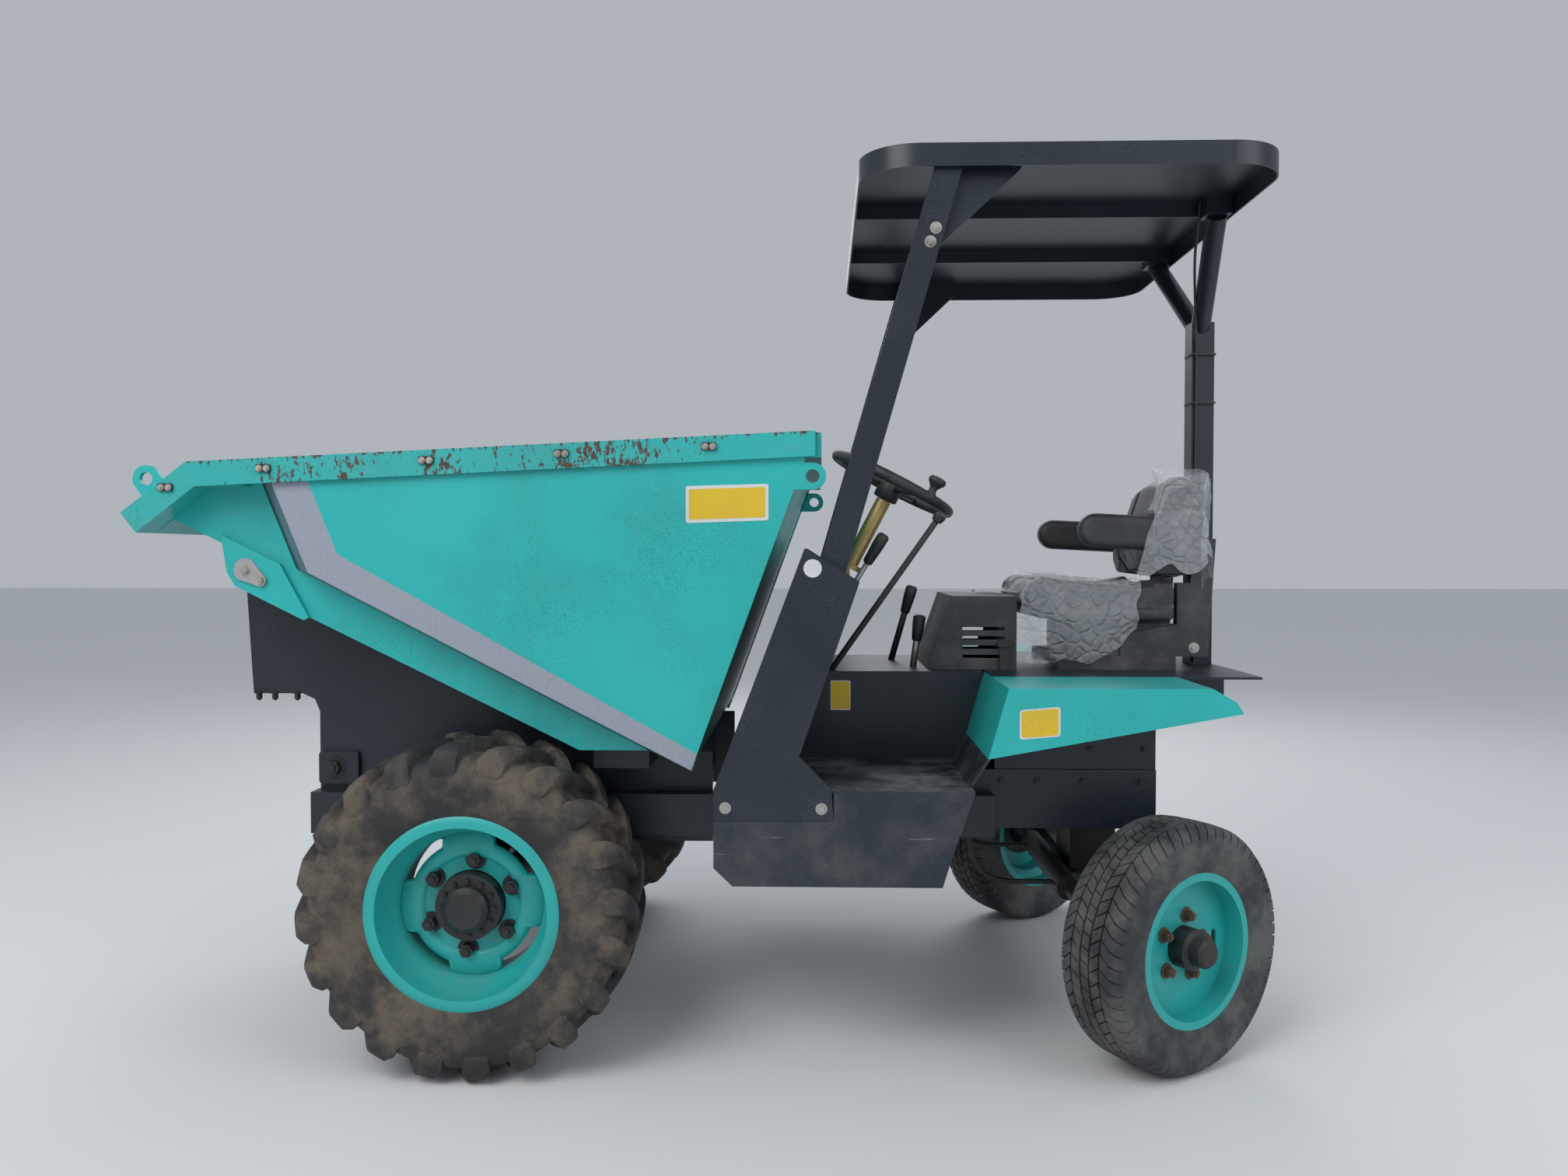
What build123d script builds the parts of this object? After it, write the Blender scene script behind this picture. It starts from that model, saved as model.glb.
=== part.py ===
"""Site dumper: front-tipping skip, driven front wheels, steered rear wheels, seat under a canopy.

Millimetres. +X points to the rear, +Y to the machine's right, +Z up. Lengths along X are measured
from the front axle while the pieces are drawn; save() then shifts them to the frame's origin, which
lies on the ground under the middle of the machine.
"""

import os
from math import atan2, cos, degrees, hypot, radians, sin, tan

from build123d import *

# Driving dimensions

ORIGIN_BEHIND_AXLE = 533.5  # the frame's origin lies this far behind the front axle
SHEET = 6.0  # skip plates
PLATE = 10.0  # frame plates
PIN_PLAY = 0.06  # radial clearance of pins in their bores
GAP = 0.3  # small clearance between separate pieces

# Front wheels
FRONT_TYRE_R = 378.0  # over the lugs
FRONT_TYRE_W = 270.0
FRONT_LUG_H = 26.0
FRONT_LUGS = 20  # on each side of the tread
FRONT_FACETS = 30
FRONT_TRACK = 1220.0
FRONT_RIM_R = 216.0  # over the rim flange
FRONT_BEAD_R = 195.0
FRONT_RIM_W = 246.0
FRONT_DISC_IN = 92.0  # wheel disc behind the outer flange
FRONT_HUB_R = 74.0
FRONT_TOP_Z = 2 * FRONT_TYRE_R  # the skip and its frame keep their height above the front tyres

# Rear wheels and steering
KINGPIN_X = 1514.0
KINGPIN_Y = 472.0
KINGPIN_R = 18.0
REAR_OFFSET = 120.0  # wheel centre outboard of the kingpin
REAR_TYRE_R = 281.0
REAR_TYRE_W = 168.0
REAR_FACETS = 32
REAR_RIM_R = 182.0
REAR_BEAD_R = 164.0
REAR_RIM_W = 148.0
REAR_DISC_IN = 46.0
REAR_HUB_R = 46.0
STEER_REST = 34.0  # the wheels stand at this angle
STEER_ARM = 120.0
TIE_ROD_R = 14.0
STEER_RAM_R = 30.0
STEER_RAM_L = 520.0

# Frame
FRAME_Y = 385.0  # outer face of the side plates
RAIL_W = 50.0
RAIL_Z = (FRONT_TYRE_R + 107, FRONT_TYRE_R + 207)
FRAME_FRONT_X = -631.0
FRAME_STEP_X = -452.0
FRAME_BACK_X = 520.0
FRAME_FLOOR_Z = RAIL_Z[0] - 25
OVERHANG_Z = FRONT_TOP_Z + 64
FRAME_TOP_Z = FRONT_TOP_Z - 76

# Skip
PIVOT = (-533.0, FRONT_TOP_Z + 371)
PIVOT_R = 20.0
EAR_R = 40.0
SKIP_SLOPE = 26.0  # floor's fall to the rear, degrees
SKIP_EDGE = (-706.0, FRONT_TOP_Z + 487)  # front end of the side plates' lower edge
SKIP_FLOOR_RISE = 25.0  # floor's underside above that edge
SKIP_INNER_Y = 575.0  # outer face of the recessed side plates
SKIP_OUTER_Y = 640.0  # outer face of the bulged side panels
SKIP_TOP_FRONT = (-636.0, FRONT_TOP_Z + 614)
SKIP_TOP_BACK = (771.0, FRONT_TOP_Z + 679)
SKIP_LIP = (-785.0, FRONT_TOP_Z + 500)
SKIP_HEEL = (494.0, FRONT_TOP_Z - 76)  # lowest rear corner of the side panels
RIM_H = 56.0
RIM_OUT = 14.0  # rim stands proud of the side panels
BULGE_FRONT = (-368.0, FRONT_TOP_Z + 366)  # lower front corner of the bulged panel
BULGE_FRONT_LEAN = -0.40  # run of its front edge per unit of height
BULGE_ROOT = (52.0, 20.0)  # fold's run at the front and at the lower edge
BEAM_DEPTH = 65.0
BEAM_REST_Z = FRONT_TOP_Z - 42
BEAM_W = 100.0
FRONT_LUG = (-726.0, FRONT_TOP_Z + 576)
REAR_LUG = (765.0, FRONT_TOP_Z + 580)
LUG_R = 30.0
LUG_HOLE_R = 15.0

# Tipping ram
RAM_FOOT = (-330.0, FRONT_TYRE_R + 134)
RAM_EYE_RADIUS = 300.0  # eye from the skip's pivot
RAM_EYE_ANGLE = -30.0
RAM_BARREL_R = 42.0
RAM_ROD_R = 24.0
RAM_LUG_GAP = 34.0
RAM_LUG_T = 12.0

# Operator's place
STEP_Y = (252.0, 690.0)
STEP_X = (548.0, 1120.0)
STEP_Z = 645.0
STEP_SKIRT_Z = (434.0, 499.0)
TUNNEL_Y = 250.0
TUNNEL_TOP_Z = 866.0
PEDESTAL_W = 150.0
PEDESTAL_TOP = (748.0, 1176.0)
HOOD_Y = 200.0
HOOD_TOP_Z = 1056.0
DECK_Z = 866.0
FENDER_Y = 640.0
FENDER_FRONT_X = 1200.0
FENDER_BACK_X = 1694.0
REAR_X = (1143.0, 1597.0)
REAR_BAND_Z = (497.0, 640.0)

# Canopy
ROOF_X = (868.0, 1806.0)
ROOF_Y = 672.0
ROOF_Z = (2003.0, 2053.0)
ROOF_CORNER_R = 130.0
POST = 60.0
POST_FOOT_X = 822.0
POST_HEAD_X = 1073.0
REAR_POST_X = 1815.0
FORK_Z = 1790.0
FORK_SPREAD = 262.0

# Controls
COLUMN_FOOT = (858.0, 1120.0)
COLUMN_HEAD = (958.0, 1312.0)
STEERING_WHEEL_R = 185.0
STEERING_RIM_R = 15.0
KNOB_ANGLE = 215.0
SHAFT_R = 11.0


# Helpers


def save(part, name):
    """Shifts a finished piece to the frame's origin, labels it and writes its STEP file."""
    placed = part.moved(Location((-ORIGIN_BEHIND_AXLE, 0, 0)))
    placed.label = name
    export_step(placed, f"parts/{name}.step")


def save_pair(part, name):
    """Writes a left-hand piece and its mirror image."""
    save(part, f"{name}_left")
    save(mirror(part, about=Plane.XZ), f"{name}_right")


def save_both(part, name):
    """Writes a left-hand piece and its mirror image as two solids of one node."""
    with BuildPart() as both:
        add(part)
        mirror(about=Plane.XZ)
    save(both.part, name)


def slab(points, y_near, y_far):
    """A plate with an outline in the XZ plane, between two distances left of the middle."""
    with BuildPart() as plate:
        with BuildSketch(Plane.XZ.offset(y_near)):
            with BuildLine():
                Polyline(points, close=True)
            make_face()
        extrude(amount=y_far - y_near)
    return plate.part


def block(x, y, z):
    """A box between pairs of limits."""
    with BuildPart() as box:
        with Locations(((x[0] + x[1]) / 2, (y[0] + y[1]) / 2, (z[0] + z[1]) / 2)):
            Box(x[1] - x[0], y[1] - y[0], z[1] - z[0])
    return box.part


def rod(start, end, radius):
    """A round bar between two points."""
    axis = Vector(*end) - Vector(*start)
    with BuildPart() as bar:
        with BuildSketch(Plane(origin=start, z_dir=axis)):
            Circle(radius)
        extrude(amount=axis.length)
    return bar.part


def turned(points):
    """A solid of revolution about the Y axis, from points given as (radius, y)."""
    with BuildPart() as solid:
        with BuildSketch(Plane.XY):
            with BuildLine():
                Polyline(points, close=True)
            make_face()
        revolve(axis=Axis.Y)
    return solid.part


def edge_z(x):
    """Height of the line of the skip's lower side edge at x."""
    return SKIP_EDGE[1] - tan(radians(SKIP_SLOPE)) * (x - SKIP_EDGE[0])


def above_edge(x, rise):
    """A point a square distance above that line, at x."""
    return (x, edge_z(x) + rise / cos(radians(SKIP_SLOPE)))


def top_z(x):
    """Height of the skip's top edge at x."""
    share = (x - SKIP_TOP_FRONT[0]) / (SKIP_TOP_BACK[0] - SKIP_TOP_FRONT[0])
    return SKIP_TOP_FRONT[1] + share * (SKIP_TOP_BACK[1] - SKIP_TOP_FRONT[1])


def back_x(z):
    """Position of the skip's slanted rear edge at height z."""
    share = (z - SKIP_HEEL[1]) / (SKIP_TOP_BACK[1] - SKIP_HEEL[1])
    return SKIP_HEEL[0] + share * (SKIP_TOP_BACK[0] - SKIP_HEEL[0])


def meet(a, b, c, d):
    """Where the line through a and b meets the line through c and d."""
    rx, rz = b[0] - a[0], b[1] - a[1]
    sx, sz = d[0] - c[0], d[1] - c[1]
    t = ((c[0] - a[0]) * sz - (c[1] - a[1]) * sx) / (rx * sz - rz * sx)
    return (a[0] + t * rx, a[1] + t * rz)


os.makedirs("parts", exist_ok=True)

# Skip sides: a recessed plate with the beam's web below it, and the bulged panel standing out of it

lip_run = hypot(SKIP_TOP_FRONT[0] - SKIP_LIP[0], SKIP_TOP_FRONT[1] - SKIP_LIP[1])
lip_dir = ((SKIP_TOP_FRONT[0] - SKIP_LIP[0]) / lip_run, (SKIP_TOP_FRONT[1] - SKIP_LIP[1]) / lip_run)
lip_under = (SKIP_LIP[0] + RIM_H * lip_dir[1], SKIP_LIP[1] - RIM_H * lip_dir[0])
floor_top = SKIP_FLOOR_RISE + SHEET
lip_top = meet(SKIP_LIP, SKIP_TOP_FRONT, above_edge(-700, floor_top), above_edge(0, floor_top))
rear_dir = (SKIP_TOP_BACK[0] - SKIP_HEEL[0], SKIP_TOP_BACK[1] - SKIP_HEEL[1])

panel_up = (BULGE_FRONT[0] + BULGE_FRONT_LEAN * 100, BULGE_FRONT[1] + 100)
panel_top = meet(BULGE_FRONT, panel_up, SKIP_TOP_FRONT, SKIP_TOP_BACK)
panel = [BULGE_FRONT, SKIP_HEEL, SKIP_TOP_BACK, panel_top]


def panel_shift(run, drop):
    """The panel's outline with its front edge moved by run and its lower edge by drop."""
    low_a = (BULGE_FRONT[0], BULGE_FRONT[1] + drop)
    low_b = (SKIP_HEEL[0], SKIP_HEEL[1] + drop)
    front_a = (BULGE_FRONT[0] + run, BULGE_FRONT[1])
    front_b = (panel_up[0] + run, panel_up[1])
    corner = meet(low_a, low_b, front_a, front_b)
    heel = meet(low_a, low_b, SKIP_HEEL, SKIP_TOP_BACK)
    top = meet(front_a, front_b, SKIP_TOP_FRONT, SKIP_TOP_BACK)
    return [corner, heel, SKIP_TOP_BACK, top]


root = panel_shift(-BULGE_ROOT[0], -BULGE_ROOT[1])
hollow = panel_shift(7.0, 15.0)
hollow_heel = (hollow[1][0] + 60, hollow[1][1] - 31)
strip_front = -415.0
strip_low = meet(
    above_edge(-400, -BEAM_DEPTH), above_edge(0, -BEAM_DEPTH), (0, BEAM_REST_Z), (100, BEAM_REST_Z)
)
strip_back = meet(root[0], root[1], (0, BEAM_REST_Z), (100, BEAM_REST_Z))
plate_outline = [
    SKIP_EDGE,
    (strip_front - 28, edge_z(strip_front - 28)),
    above_edge(strip_front, -BEAM_DEPTH),
    strip_low,
    strip_back,
    root[1],
    SKIP_TOP_BACK,
    SKIP_TOP_FRONT,
    lip_top,
]
with BuildPart() as skip_side:
    add(slab(plate_outline, SKIP_INNER_Y - SHEET, SKIP_INNER_Y))
    with BuildSketch(Plane.XZ.offset(SKIP_INNER_Y)):
        with BuildLine():
            Polyline(root, close=True)
        make_face()
    with BuildSketch(Plane.XZ.offset(SKIP_OUTER_Y)):
        with BuildLine():
            Polyline(panel, close=True)
        make_face()
    loft(ruled=True)
    hollow_out = [
        hollow[0],
        hollow_heel,
        (SKIP_TOP_BACK[0] + 60, SKIP_TOP_BACK[1] + 100),
        (hollow[3][0] - 40, hollow[3][1] + 100),
    ]
    add(slab(hollow_out, SKIP_INNER_Y - 2 * SHEET, SKIP_OUTER_Y - SHEET), mode=Mode.SUBTRACT)
save_both(skip_side.part, "skip_sides")

# Skip floor and back, between the sides

wall_set = 4.0
wall_t = SHEET / cos(atan2(rear_dir[0], rear_dir[1]))
floor_y = SKIP_INNER_Y - SHEET


def wall_point(z, depth):
    """A point on the rear wall at height z, a distance in front of the side panels' rear edge."""
    return (back_x(z) - wall_set - depth, z)


wall_foot = meet(
    above_edge(0, SKIP_FLOOR_RISE), above_edge(400, SKIP_FLOOR_RISE), wall_point(700, 0), wall_point(900, 0)
)[1]
floor_low = meet(
    above_edge(0, SKIP_FLOOR_RISE), above_edge(400, SKIP_FLOOR_RISE), wall_point(700, wall_t), wall_point(900, wall_t)
)
floor_high = meet(
    above_edge(0, floor_top), above_edge(400, floor_top), wall_point(700, wall_t), wall_point(900, wall_t)
)
lip_floor = meet(SKIP_EDGE, lip_top, above_edge(-700, SKIP_FLOOR_RISE), above_edge(0, SKIP_FLOOR_RISE))
save(slab([lip_floor, floor_low, floor_high, lip_top], -floor_y, floor_y), "skip_floor")

wall_low_z = hollow[1][1] + 16
wall_top_z = SKIP_TOP_BACK[1] - 2
low_wall = [
    wall_point(wall_foot, 0),
    wall_point(wall_low_z, 0),
    wall_point(wall_low_z, wall_t),
    wall_point(wall_foot, wall_t),
]
high_wall = [
    wall_point(wall_low_z, 0),
    wall_point(wall_top_z, 0),
    wall_point(wall_top_z, wall_t),
    wall_point(wall_low_z, wall_t),
]
wall_y = SKIP_OUTER_Y - SHEET
with BuildPart() as skip_back:
    add(slab(low_wall, -floor_y, floor_y))
    add(slab(high_wall, -wall_y, wall_y))
save(skip_back.part, "skip_back")

# Skip rim: a band along both sides, a bar behind the back's top edge and the lip across the front

rim_fall = RIM_H / cos(atan2(SKIP_TOP_BACK[1] - SKIP_TOP_FRONT[1], SKIP_TOP_BACK[0] - SKIP_TOP_FRONT[0]))
rim_low_front = (SKIP_TOP_FRONT[0], SKIP_TOP_FRONT[1] - rim_fall)
rim_low_back = (SKIP_TOP_BACK[0], SKIP_TOP_BACK[1] - rim_fall)
lip_inner = (lip_under[0] + lip_dir[0], lip_under[1] + lip_dir[1])
rim_knee = meet(rim_low_front, rim_low_back, lip_under, lip_inner)
rim_outline = [SKIP_LIP, SKIP_TOP_FRONT, SKIP_TOP_BACK, rim_low_back, rim_knee, lip_under]
rim_fill_x = root[3][0] - 6
rim_fill = [
    SKIP_LIP,
    SKIP_TOP_FRONT,
    (rim_fill_x, top_z(rim_fill_x)),
    (rim_fill_x, top_z(rim_fill_x) - rim_fall),
    rim_knee,
    lip_under,
]
rim_y = SKIP_OUTER_Y + RIM_OUT
with BuildPart() as skip_rim:
    add(slab(rim_outline, SKIP_OUTER_Y, rim_y))
    add(slab(rim_fill, SKIP_INNER_Y, SKIP_OUTER_Y))
    mirror(about=Plane.XZ)
    add(slab([SKIP_LIP, lip_top, SKIP_EDGE, lip_under], -SKIP_INNER_Y, SKIP_INNER_Y))
    rear_bar = [
        wall_point(wall_top_z, 0),
        (SKIP_TOP_BACK[0] + RIM_OUT, wall_top_z),
        (SKIP_TOP_BACK[0] + RIM_OUT, wall_top_z - RIM_H),
        wall_point(wall_top_z - RIM_H, 0),
    ]
    add(slab(rear_bar, -wall_y, wall_y))
save(skip_rim.part, "skip_rim")

# Skip beams under the floor, pivot brackets and ram lugs

beam_outline = [
    above_edge(strip_front - 40, SKIP_FLOOR_RISE),
    above_edge(strip_front, -BEAM_DEPTH),
    strip_low,
    strip_back,
    above_edge(strip_back[0] + 14, SKIP_FLOOR_RISE),
]
with BuildPart() as skip_beams:
    add(slab(beam_outline, floor_y - BEAM_W, floor_y))
    mirror(about=Plane.XZ)
save(skip_beams.part, "skip_beams")

bracket_t = 12.0
bracket_outline = [
    above_edge(-592, 18),
    (PIVOT[0] - 46, PIVOT[1] - 4),
    (PIVOT[0] - 28, PIVOT[1] - 36),
    (-402, 1012),
    (-390, 1018),
    above_edge(-456, 18),
]
with BuildPart() as skip_bracket:
    add(slab(bracket_outline, SKIP_INNER_Y, SKIP_INNER_Y + bracket_t))
    with BuildSketch(Plane.XZ.offset(SKIP_INNER_Y)):
        with Locations(PIVOT):
            Circle(PIVOT_R + PIN_PLAY)
    extrude(amount=bracket_t, mode=Mode.SUBTRACT)

ram_eye = (
    PIVOT[0] + RAM_EYE_RADIUS * cos(radians(RAM_EYE_ANGLE)),
    PIVOT[1] + RAM_EYE_RADIUS * sin(radians(RAM_EYE_ANGLE)),
)
lug_outline = [
    above_edge(ram_eye[0] - 75, SKIP_FLOOR_RISE),
    (ram_eye[0] - 36, ram_eye[1] - 12),
    (ram_eye[0] - 20, ram_eye[1] - 38),
    (ram_eye[0] + 20, ram_eye[1] - 38),
    (ram_eye[0] + 36, ram_eye[1] - 12),
    above_edge(ram_eye[0] + 85, SKIP_FLOOR_RISE),
]

# Lifting lugs: an eye on the front corner of each rim and one behind each side panel


def lug(centre, foot, keep_out, y_near, thickness):
    """A plate with a hole and a foot, cut to stand on an outline."""
    with BuildPart() as plate:
        with BuildSketch(Plane.XZ.offset(y_near)):
            with Locations(centre):
                Circle(LUG_R)
            with BuildLine():
                Polyline(foot, close=True)
            make_face()
            with BuildLine():
                Polyline(keep_out, close=True)
            make_face(mode=Mode.SUBTRACT)
            with Locations(centre):
                Circle(LUG_HOLE_R, mode=Mode.SUBTRACT)
        extrude(amount=thickness)
    return plate.part


front_foot = [
    (FRONT_LUG[0] - LUG_R * lip_dir[0], FRONT_LUG[1] - LUG_R * lip_dir[1]),
    (FRONT_LUG[0] + LUG_R * lip_dir[0], FRONT_LUG[1] + LUG_R * lip_dir[1]),
    (FRONT_LUG[0] + LUG_R * lip_dir[0] + 30, FRONT_LUG[1] + LUG_R * lip_dir[1] - 40),
    (FRONT_LUG[0] - LUG_R * lip_dir[0] + 30, FRONT_LUG[1] - LUG_R * lip_dir[1] - 40),
]
rear_foot = [
    (REAR_LUG[0], REAR_LUG[1] - LUG_R),
    (REAR_LUG[0], REAR_LUG[1] + LUG_R),
    (REAR_LUG[0] - 60, REAR_LUG[1] + LUG_R),
    (REAR_LUG[0] - 60, REAR_LUG[1] - LUG_R),
]
with BuildPart() as skip_fittings:
    add(skip_bracket.part)
    add(slab(lug_outline, RAM_LUG_GAP, RAM_LUG_GAP + RAM_LUG_T))
    add(lug(FRONT_LUG, front_foot, rim_outline, SKIP_OUTER_Y, RIM_OUT))
    add(lug(REAR_LUG, rear_foot, plate_outline, SKIP_OUTER_Y - 2 * SHEET, 2 * SHEET))
    mirror(about=Plane.XZ)
save(skip_fittings.part, "skip_fittings")

# Frame: side plates with the pivot ears, rails, cross members, rests for the skip

plate_y = FRAME_Y - PLATE
boss_end = SKIP_INNER_Y - SHEET - 8
top_meet = meet(above_edge(0, -15), above_edge(200, -15), (0, FRAME_TOP_Z), (100, FRAME_TOP_Z))
frame_outline = [
    (FRAME_FRONT_X + 14, OVERHANG_Z),
    (FRAME_FRONT_X, PIVOT[1] - 59),
    (PIVOT[0] - 26, PIVOT[1] + 26),
    (PIVOT[0] + 26, PIVOT[1] + 24),
    above_edge(PIVOT[0] + 62, -15),
    top_meet,
    (FRAME_BACK_X, FRAME_TOP_Z),
    (FRAME_BACK_X, FRAME_FLOOR_Z),
    (FRAME_STEP_X, FRAME_FLOOR_Z),
    (FRAME_STEP_X, OVERHANG_Z - 44),
    (FRAME_STEP_X - 12, OVERHANG_Z - 14),
    (FRAME_STEP_X - 42, OVERHANG_Z),
]
with BuildPart() as frame_plates:
    add(slab(frame_outline, plate_y, FRAME_Y))
    with BuildSketch(Plane.XZ.offset(plate_y)):
        with Locations(PIVOT):
            Circle(EAR_R - 2)
    extrude(amount=boss_end - plate_y)
    with BuildSketch(Plane.XZ.offset(plate_y)):
        with Locations(PIVOT, RAM_FOOT):
            Circle(PIVOT_R)
    extrude(amount=boss_end - plate_y, mode=Mode.SUBTRACT)
    mirror(about=Plane.XZ)
save(frame_plates.part, "frame_plates")

rail_end = REAR_X[0] + 57
rest_x = 0.675 * FRONT_TYRE_R
with BuildPart() as rails:
    add(block((FRAME_STEP_X - 4, rail_end), (-FRAME_Y - RAIL_W, -FRAME_Y), RAIL_Z))
    add(block((rest_x, rest_x + 130), (-FRAME_Y - 150, -FRAME_Y), (FRAME_TOP_Z - 14, BEAM_REST_Z - 6)))
    mirror(about=Plane.XZ)
    add(block((FRAME_FRONT_X + 22, FRAME_STEP_X - 50), (-plate_y, plate_y), (OVERHANG_Z + 4, OVERHANG_Z + 74)))
    add(block((FRAME_BACK_X - 120, FRAME_BACK_X - 60), (-plate_y, plate_y), (RAIL_Z[0] + 35, RAIL_Z[0] + 155)))
    add(block((REAR_X[0] - 123, REAR_X[0] - 43), (-FRAME_Y + GAP, FRAME_Y - GAP), (RAIL_Z[0] + 5, RAIL_Z[0] + 65)))
save(rails.part, "rails")

with BuildPart() as pins:
    with BuildSketch(Plane.XZ.offset(plate_y - 20)):
        with Locations(PIVOT):
            Circle(PIVOT_R)
    extrude(amount=SKIP_INNER_Y + 26 - plate_y)
    mirror(about=Plane.XZ)
    with BuildSketch(Plane.XZ.offset(-FRAME_Y)):
        with Locations(RAM_FOOT):
            Circle(PIVOT_R)
    extrude(amount=2 * FRAME_Y)
save(pins.part, "pins")

# Front axle with its spindles; the hubs turn on them

spindle_r = 40.0
spindle_end = FRONT_TRACK / 2 + 52
tube_end = FRONT_TRACK / 2 - 138
axle_half = [
    (0, 0),
    (132, 0),
    (132, 60),
    (104, 120),
    (62, 150),
    (56, tube_end),
    (spindle_r, tube_end),
    (spindle_r, spindle_end),
    (0, spindle_end),
]
with BuildPart() as front_axle:
    add(turned(axle_half).moved(Location((0, 0, FRONT_TYRE_R))))
    add(block((-70, 70), (FRAME_Y + 4, FRAME_Y + RAIL_W - 4), (FRONT_TYRE_R, RAIL_Z[0])))
    mirror(about=Plane.XZ)
save(front_axle.part, "front_axle")

# Front wheels: drawn with the outer side towards -Y, then placed


def tyre_outline(radius, width, bead_r, rim_r, rim_w, sides):
    """A faceted tyre's cross section, out to its largest radius; its facets lie on the rim's seat."""
    half = width / 2
    seat = rim_w / 2 - 9
    rise = radius - rim_r
    side = [
        (bead_r / cos(radians(180 / sides)), seat),
        (rim_r + 4, seat),
        (rim_r + 0.24 * rise, half * 0.99),
        (rim_r + 0.52 * rise, half),
        (radius - 0.14 * rise, half * 0.90),
        (radius, half * 0.50),
    ]
    return side + [(r, -y) for r, y in reversed(side)]


def faceted(outline, sides):
    """A ring of flat facets about the Y axis, made of equal wedges of the closed outline of (radius, y)."""
    step = 360 / sides
    half_turn = radians(step / 2)
    reach = 1.2 * max(r for r, y in outline)
    with BuildPart() as wedge:
        with BuildSketch(Plane.XY):
            with BuildLine():
                Polyline([(r * cos(half_turn), y) for r, y in outline], close=True)
            make_face()
        extrude(amount=reach, both=True)
        with BuildSketch(Plane.XZ.offset(-reach)):
            with BuildLine():
                Polyline((0, 0), (reach, -reach * tan(half_turn)), (reach, reach * tan(half_turn)), close=True)
            make_face()
        extrude(amount=2 * reach, mode=Mode.INTERSECT)
    with BuildPart() as ring:
        add([wedge.part.moved(Location((0, 0, 0), (0, step * (i + 0.5), 0))) for i in range(sides)])
    return ring.part


def tread_lug():
    """One bar of the front tread on its outer side, at the top of the wheel: plan and cross section, crossed."""
    top = FRONT_TYRE_R - 4.5  # flat bar tops, their corners on the tyre radius
    half = FRONT_TYRE_W / 2
    plan = [(58, 8), (28, 10), (-62, -half), (-8, -half)]
    section = [
        (12, top - 2 * FRONT_LUG_H),
        (12, top),
        (-half + 30, top),
        (-half + 1, top - 46),
        (-half + 12, top - 62),
    ]
    with BuildPart() as bar:
        with BuildSketch(Plane.XY.offset(top - 80)):
            with BuildLine():
                Polyline(plan, close=True)
            make_face()
        extrude(amount=80)
        with BuildSketch(Plane.YZ.offset(-80)):
            with BuildLine():
                Polyline(section, close=True)
            make_face()
        extrude(amount=160, mode=Mode.INTERSECT)
    return bar.part


def rim_solid(bead_r, rim_r, rim_w, disc_in, disc_t, bore_r, slots, slot_r, slot_w, slot_deg):
    """A wheel rim: flanged barrel, well, and a disc set in from the outer flange with slots."""
    half = rim_w / 2
    well = bead_r - 22
    wall = 8.0
    barrel = [
        (bead_r, -half + 9),
        (rim_r, -half + 9),
        (rim_r, -half),
        (bead_r - wall, -half),
        (bead_r - wall, -half * 0.35),
        (well - wall, -half * 0.2),
        (well - wall, half * 0.35),
        (bead_r - wall, half * 0.55),
        (bead_r - wall, half),
        (rim_r, half),
        (rim_r, half - 9),
        (bead_r, half - 9),
    ]
    disc_y = -half + disc_in
    disc_r = well - wall if disc_y > -half * 0.2 else bead_r - wall
    with BuildPart() as rim:
        add(turned(barrel))
        with BuildSketch(Plane.XZ.offset(-disc_y)):
            Circle(disc_r + 2)
            Circle(bore_r, mode=Mode.SUBTRACT)
            with PolarLocations(0, slots, start_angle=45):
                SlotArc(CenterArc((0, 0), slot_r, -slot_deg / 2, slot_deg), slot_w, mode=Mode.SUBTRACT)
        extrude(amount=-disc_t)
    return rim.part


front_disc_y = -FRONT_RIM_W / 2 + FRONT_DISC_IN
front_wheel_at = Location((0, -FRONT_TRACK / 2, FRONT_TYRE_R))
carcass_r = FRONT_TYRE_R - FRONT_LUG_H
carcass = tyre_outline(carcass_r, FRONT_TYRE_W, FRONT_BEAD_R, FRONT_RIM_R, FRONT_RIM_W, FRONT_FACETS)
outer_lug = tread_lug()
inner_lug = mirror(outer_lug, about=Plane.XZ)
pitch = 360 / FRONT_LUGS
lugs = [outer_lug.moved(Location((0, 0, 0), (0, pitch * i, 0))) for i in range(FRONT_LUGS)]
lugs += [inner_lug.moved(Location((0, 0, 0), (0, pitch * (i + 0.5), 0))) for i in range(FRONT_LUGS)]
with BuildPart() as front_tyre:
    add(faceted(carcass, FRONT_FACETS))
    add(lugs)
front_tyre = front_tyre.part
save_pair(front_tyre.moved(front_wheel_at), "front_tyre")
front_rim = rim_solid(
    FRONT_BEAD_R, FRONT_RIM_R, FRONT_RIM_W, FRONT_DISC_IN, 10, FRONT_HUB_R + GAP, 4, 152, 15, 46
)
save_pair(front_rim.moved(front_wheel_at), "front_rim")
front_hub = [
    (0, front_disc_y - 66),
    (40, front_disc_y - 66),
    (50, front_disc_y - 56),
    (50, front_disc_y - 36),
    (FRONT_HUB_R, front_disc_y - 34),
    (FRONT_HUB_R, front_disc_y + 10),
    (124, front_disc_y + 10),
    (124, front_disc_y + 28),
    (104, front_disc_y + 34),
    (104, 124),
    (spindle_r + PIN_PLAY, 124),
    (spindle_r + PIN_PLAY, front_disc_y - 26),
    (0, front_disc_y - 26),
]
save_pair(turned(front_hub).moved(front_wheel_at), "front_hub")

# Rear axle beam, knuckles, rear wheels, tie rod and steering ram

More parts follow.
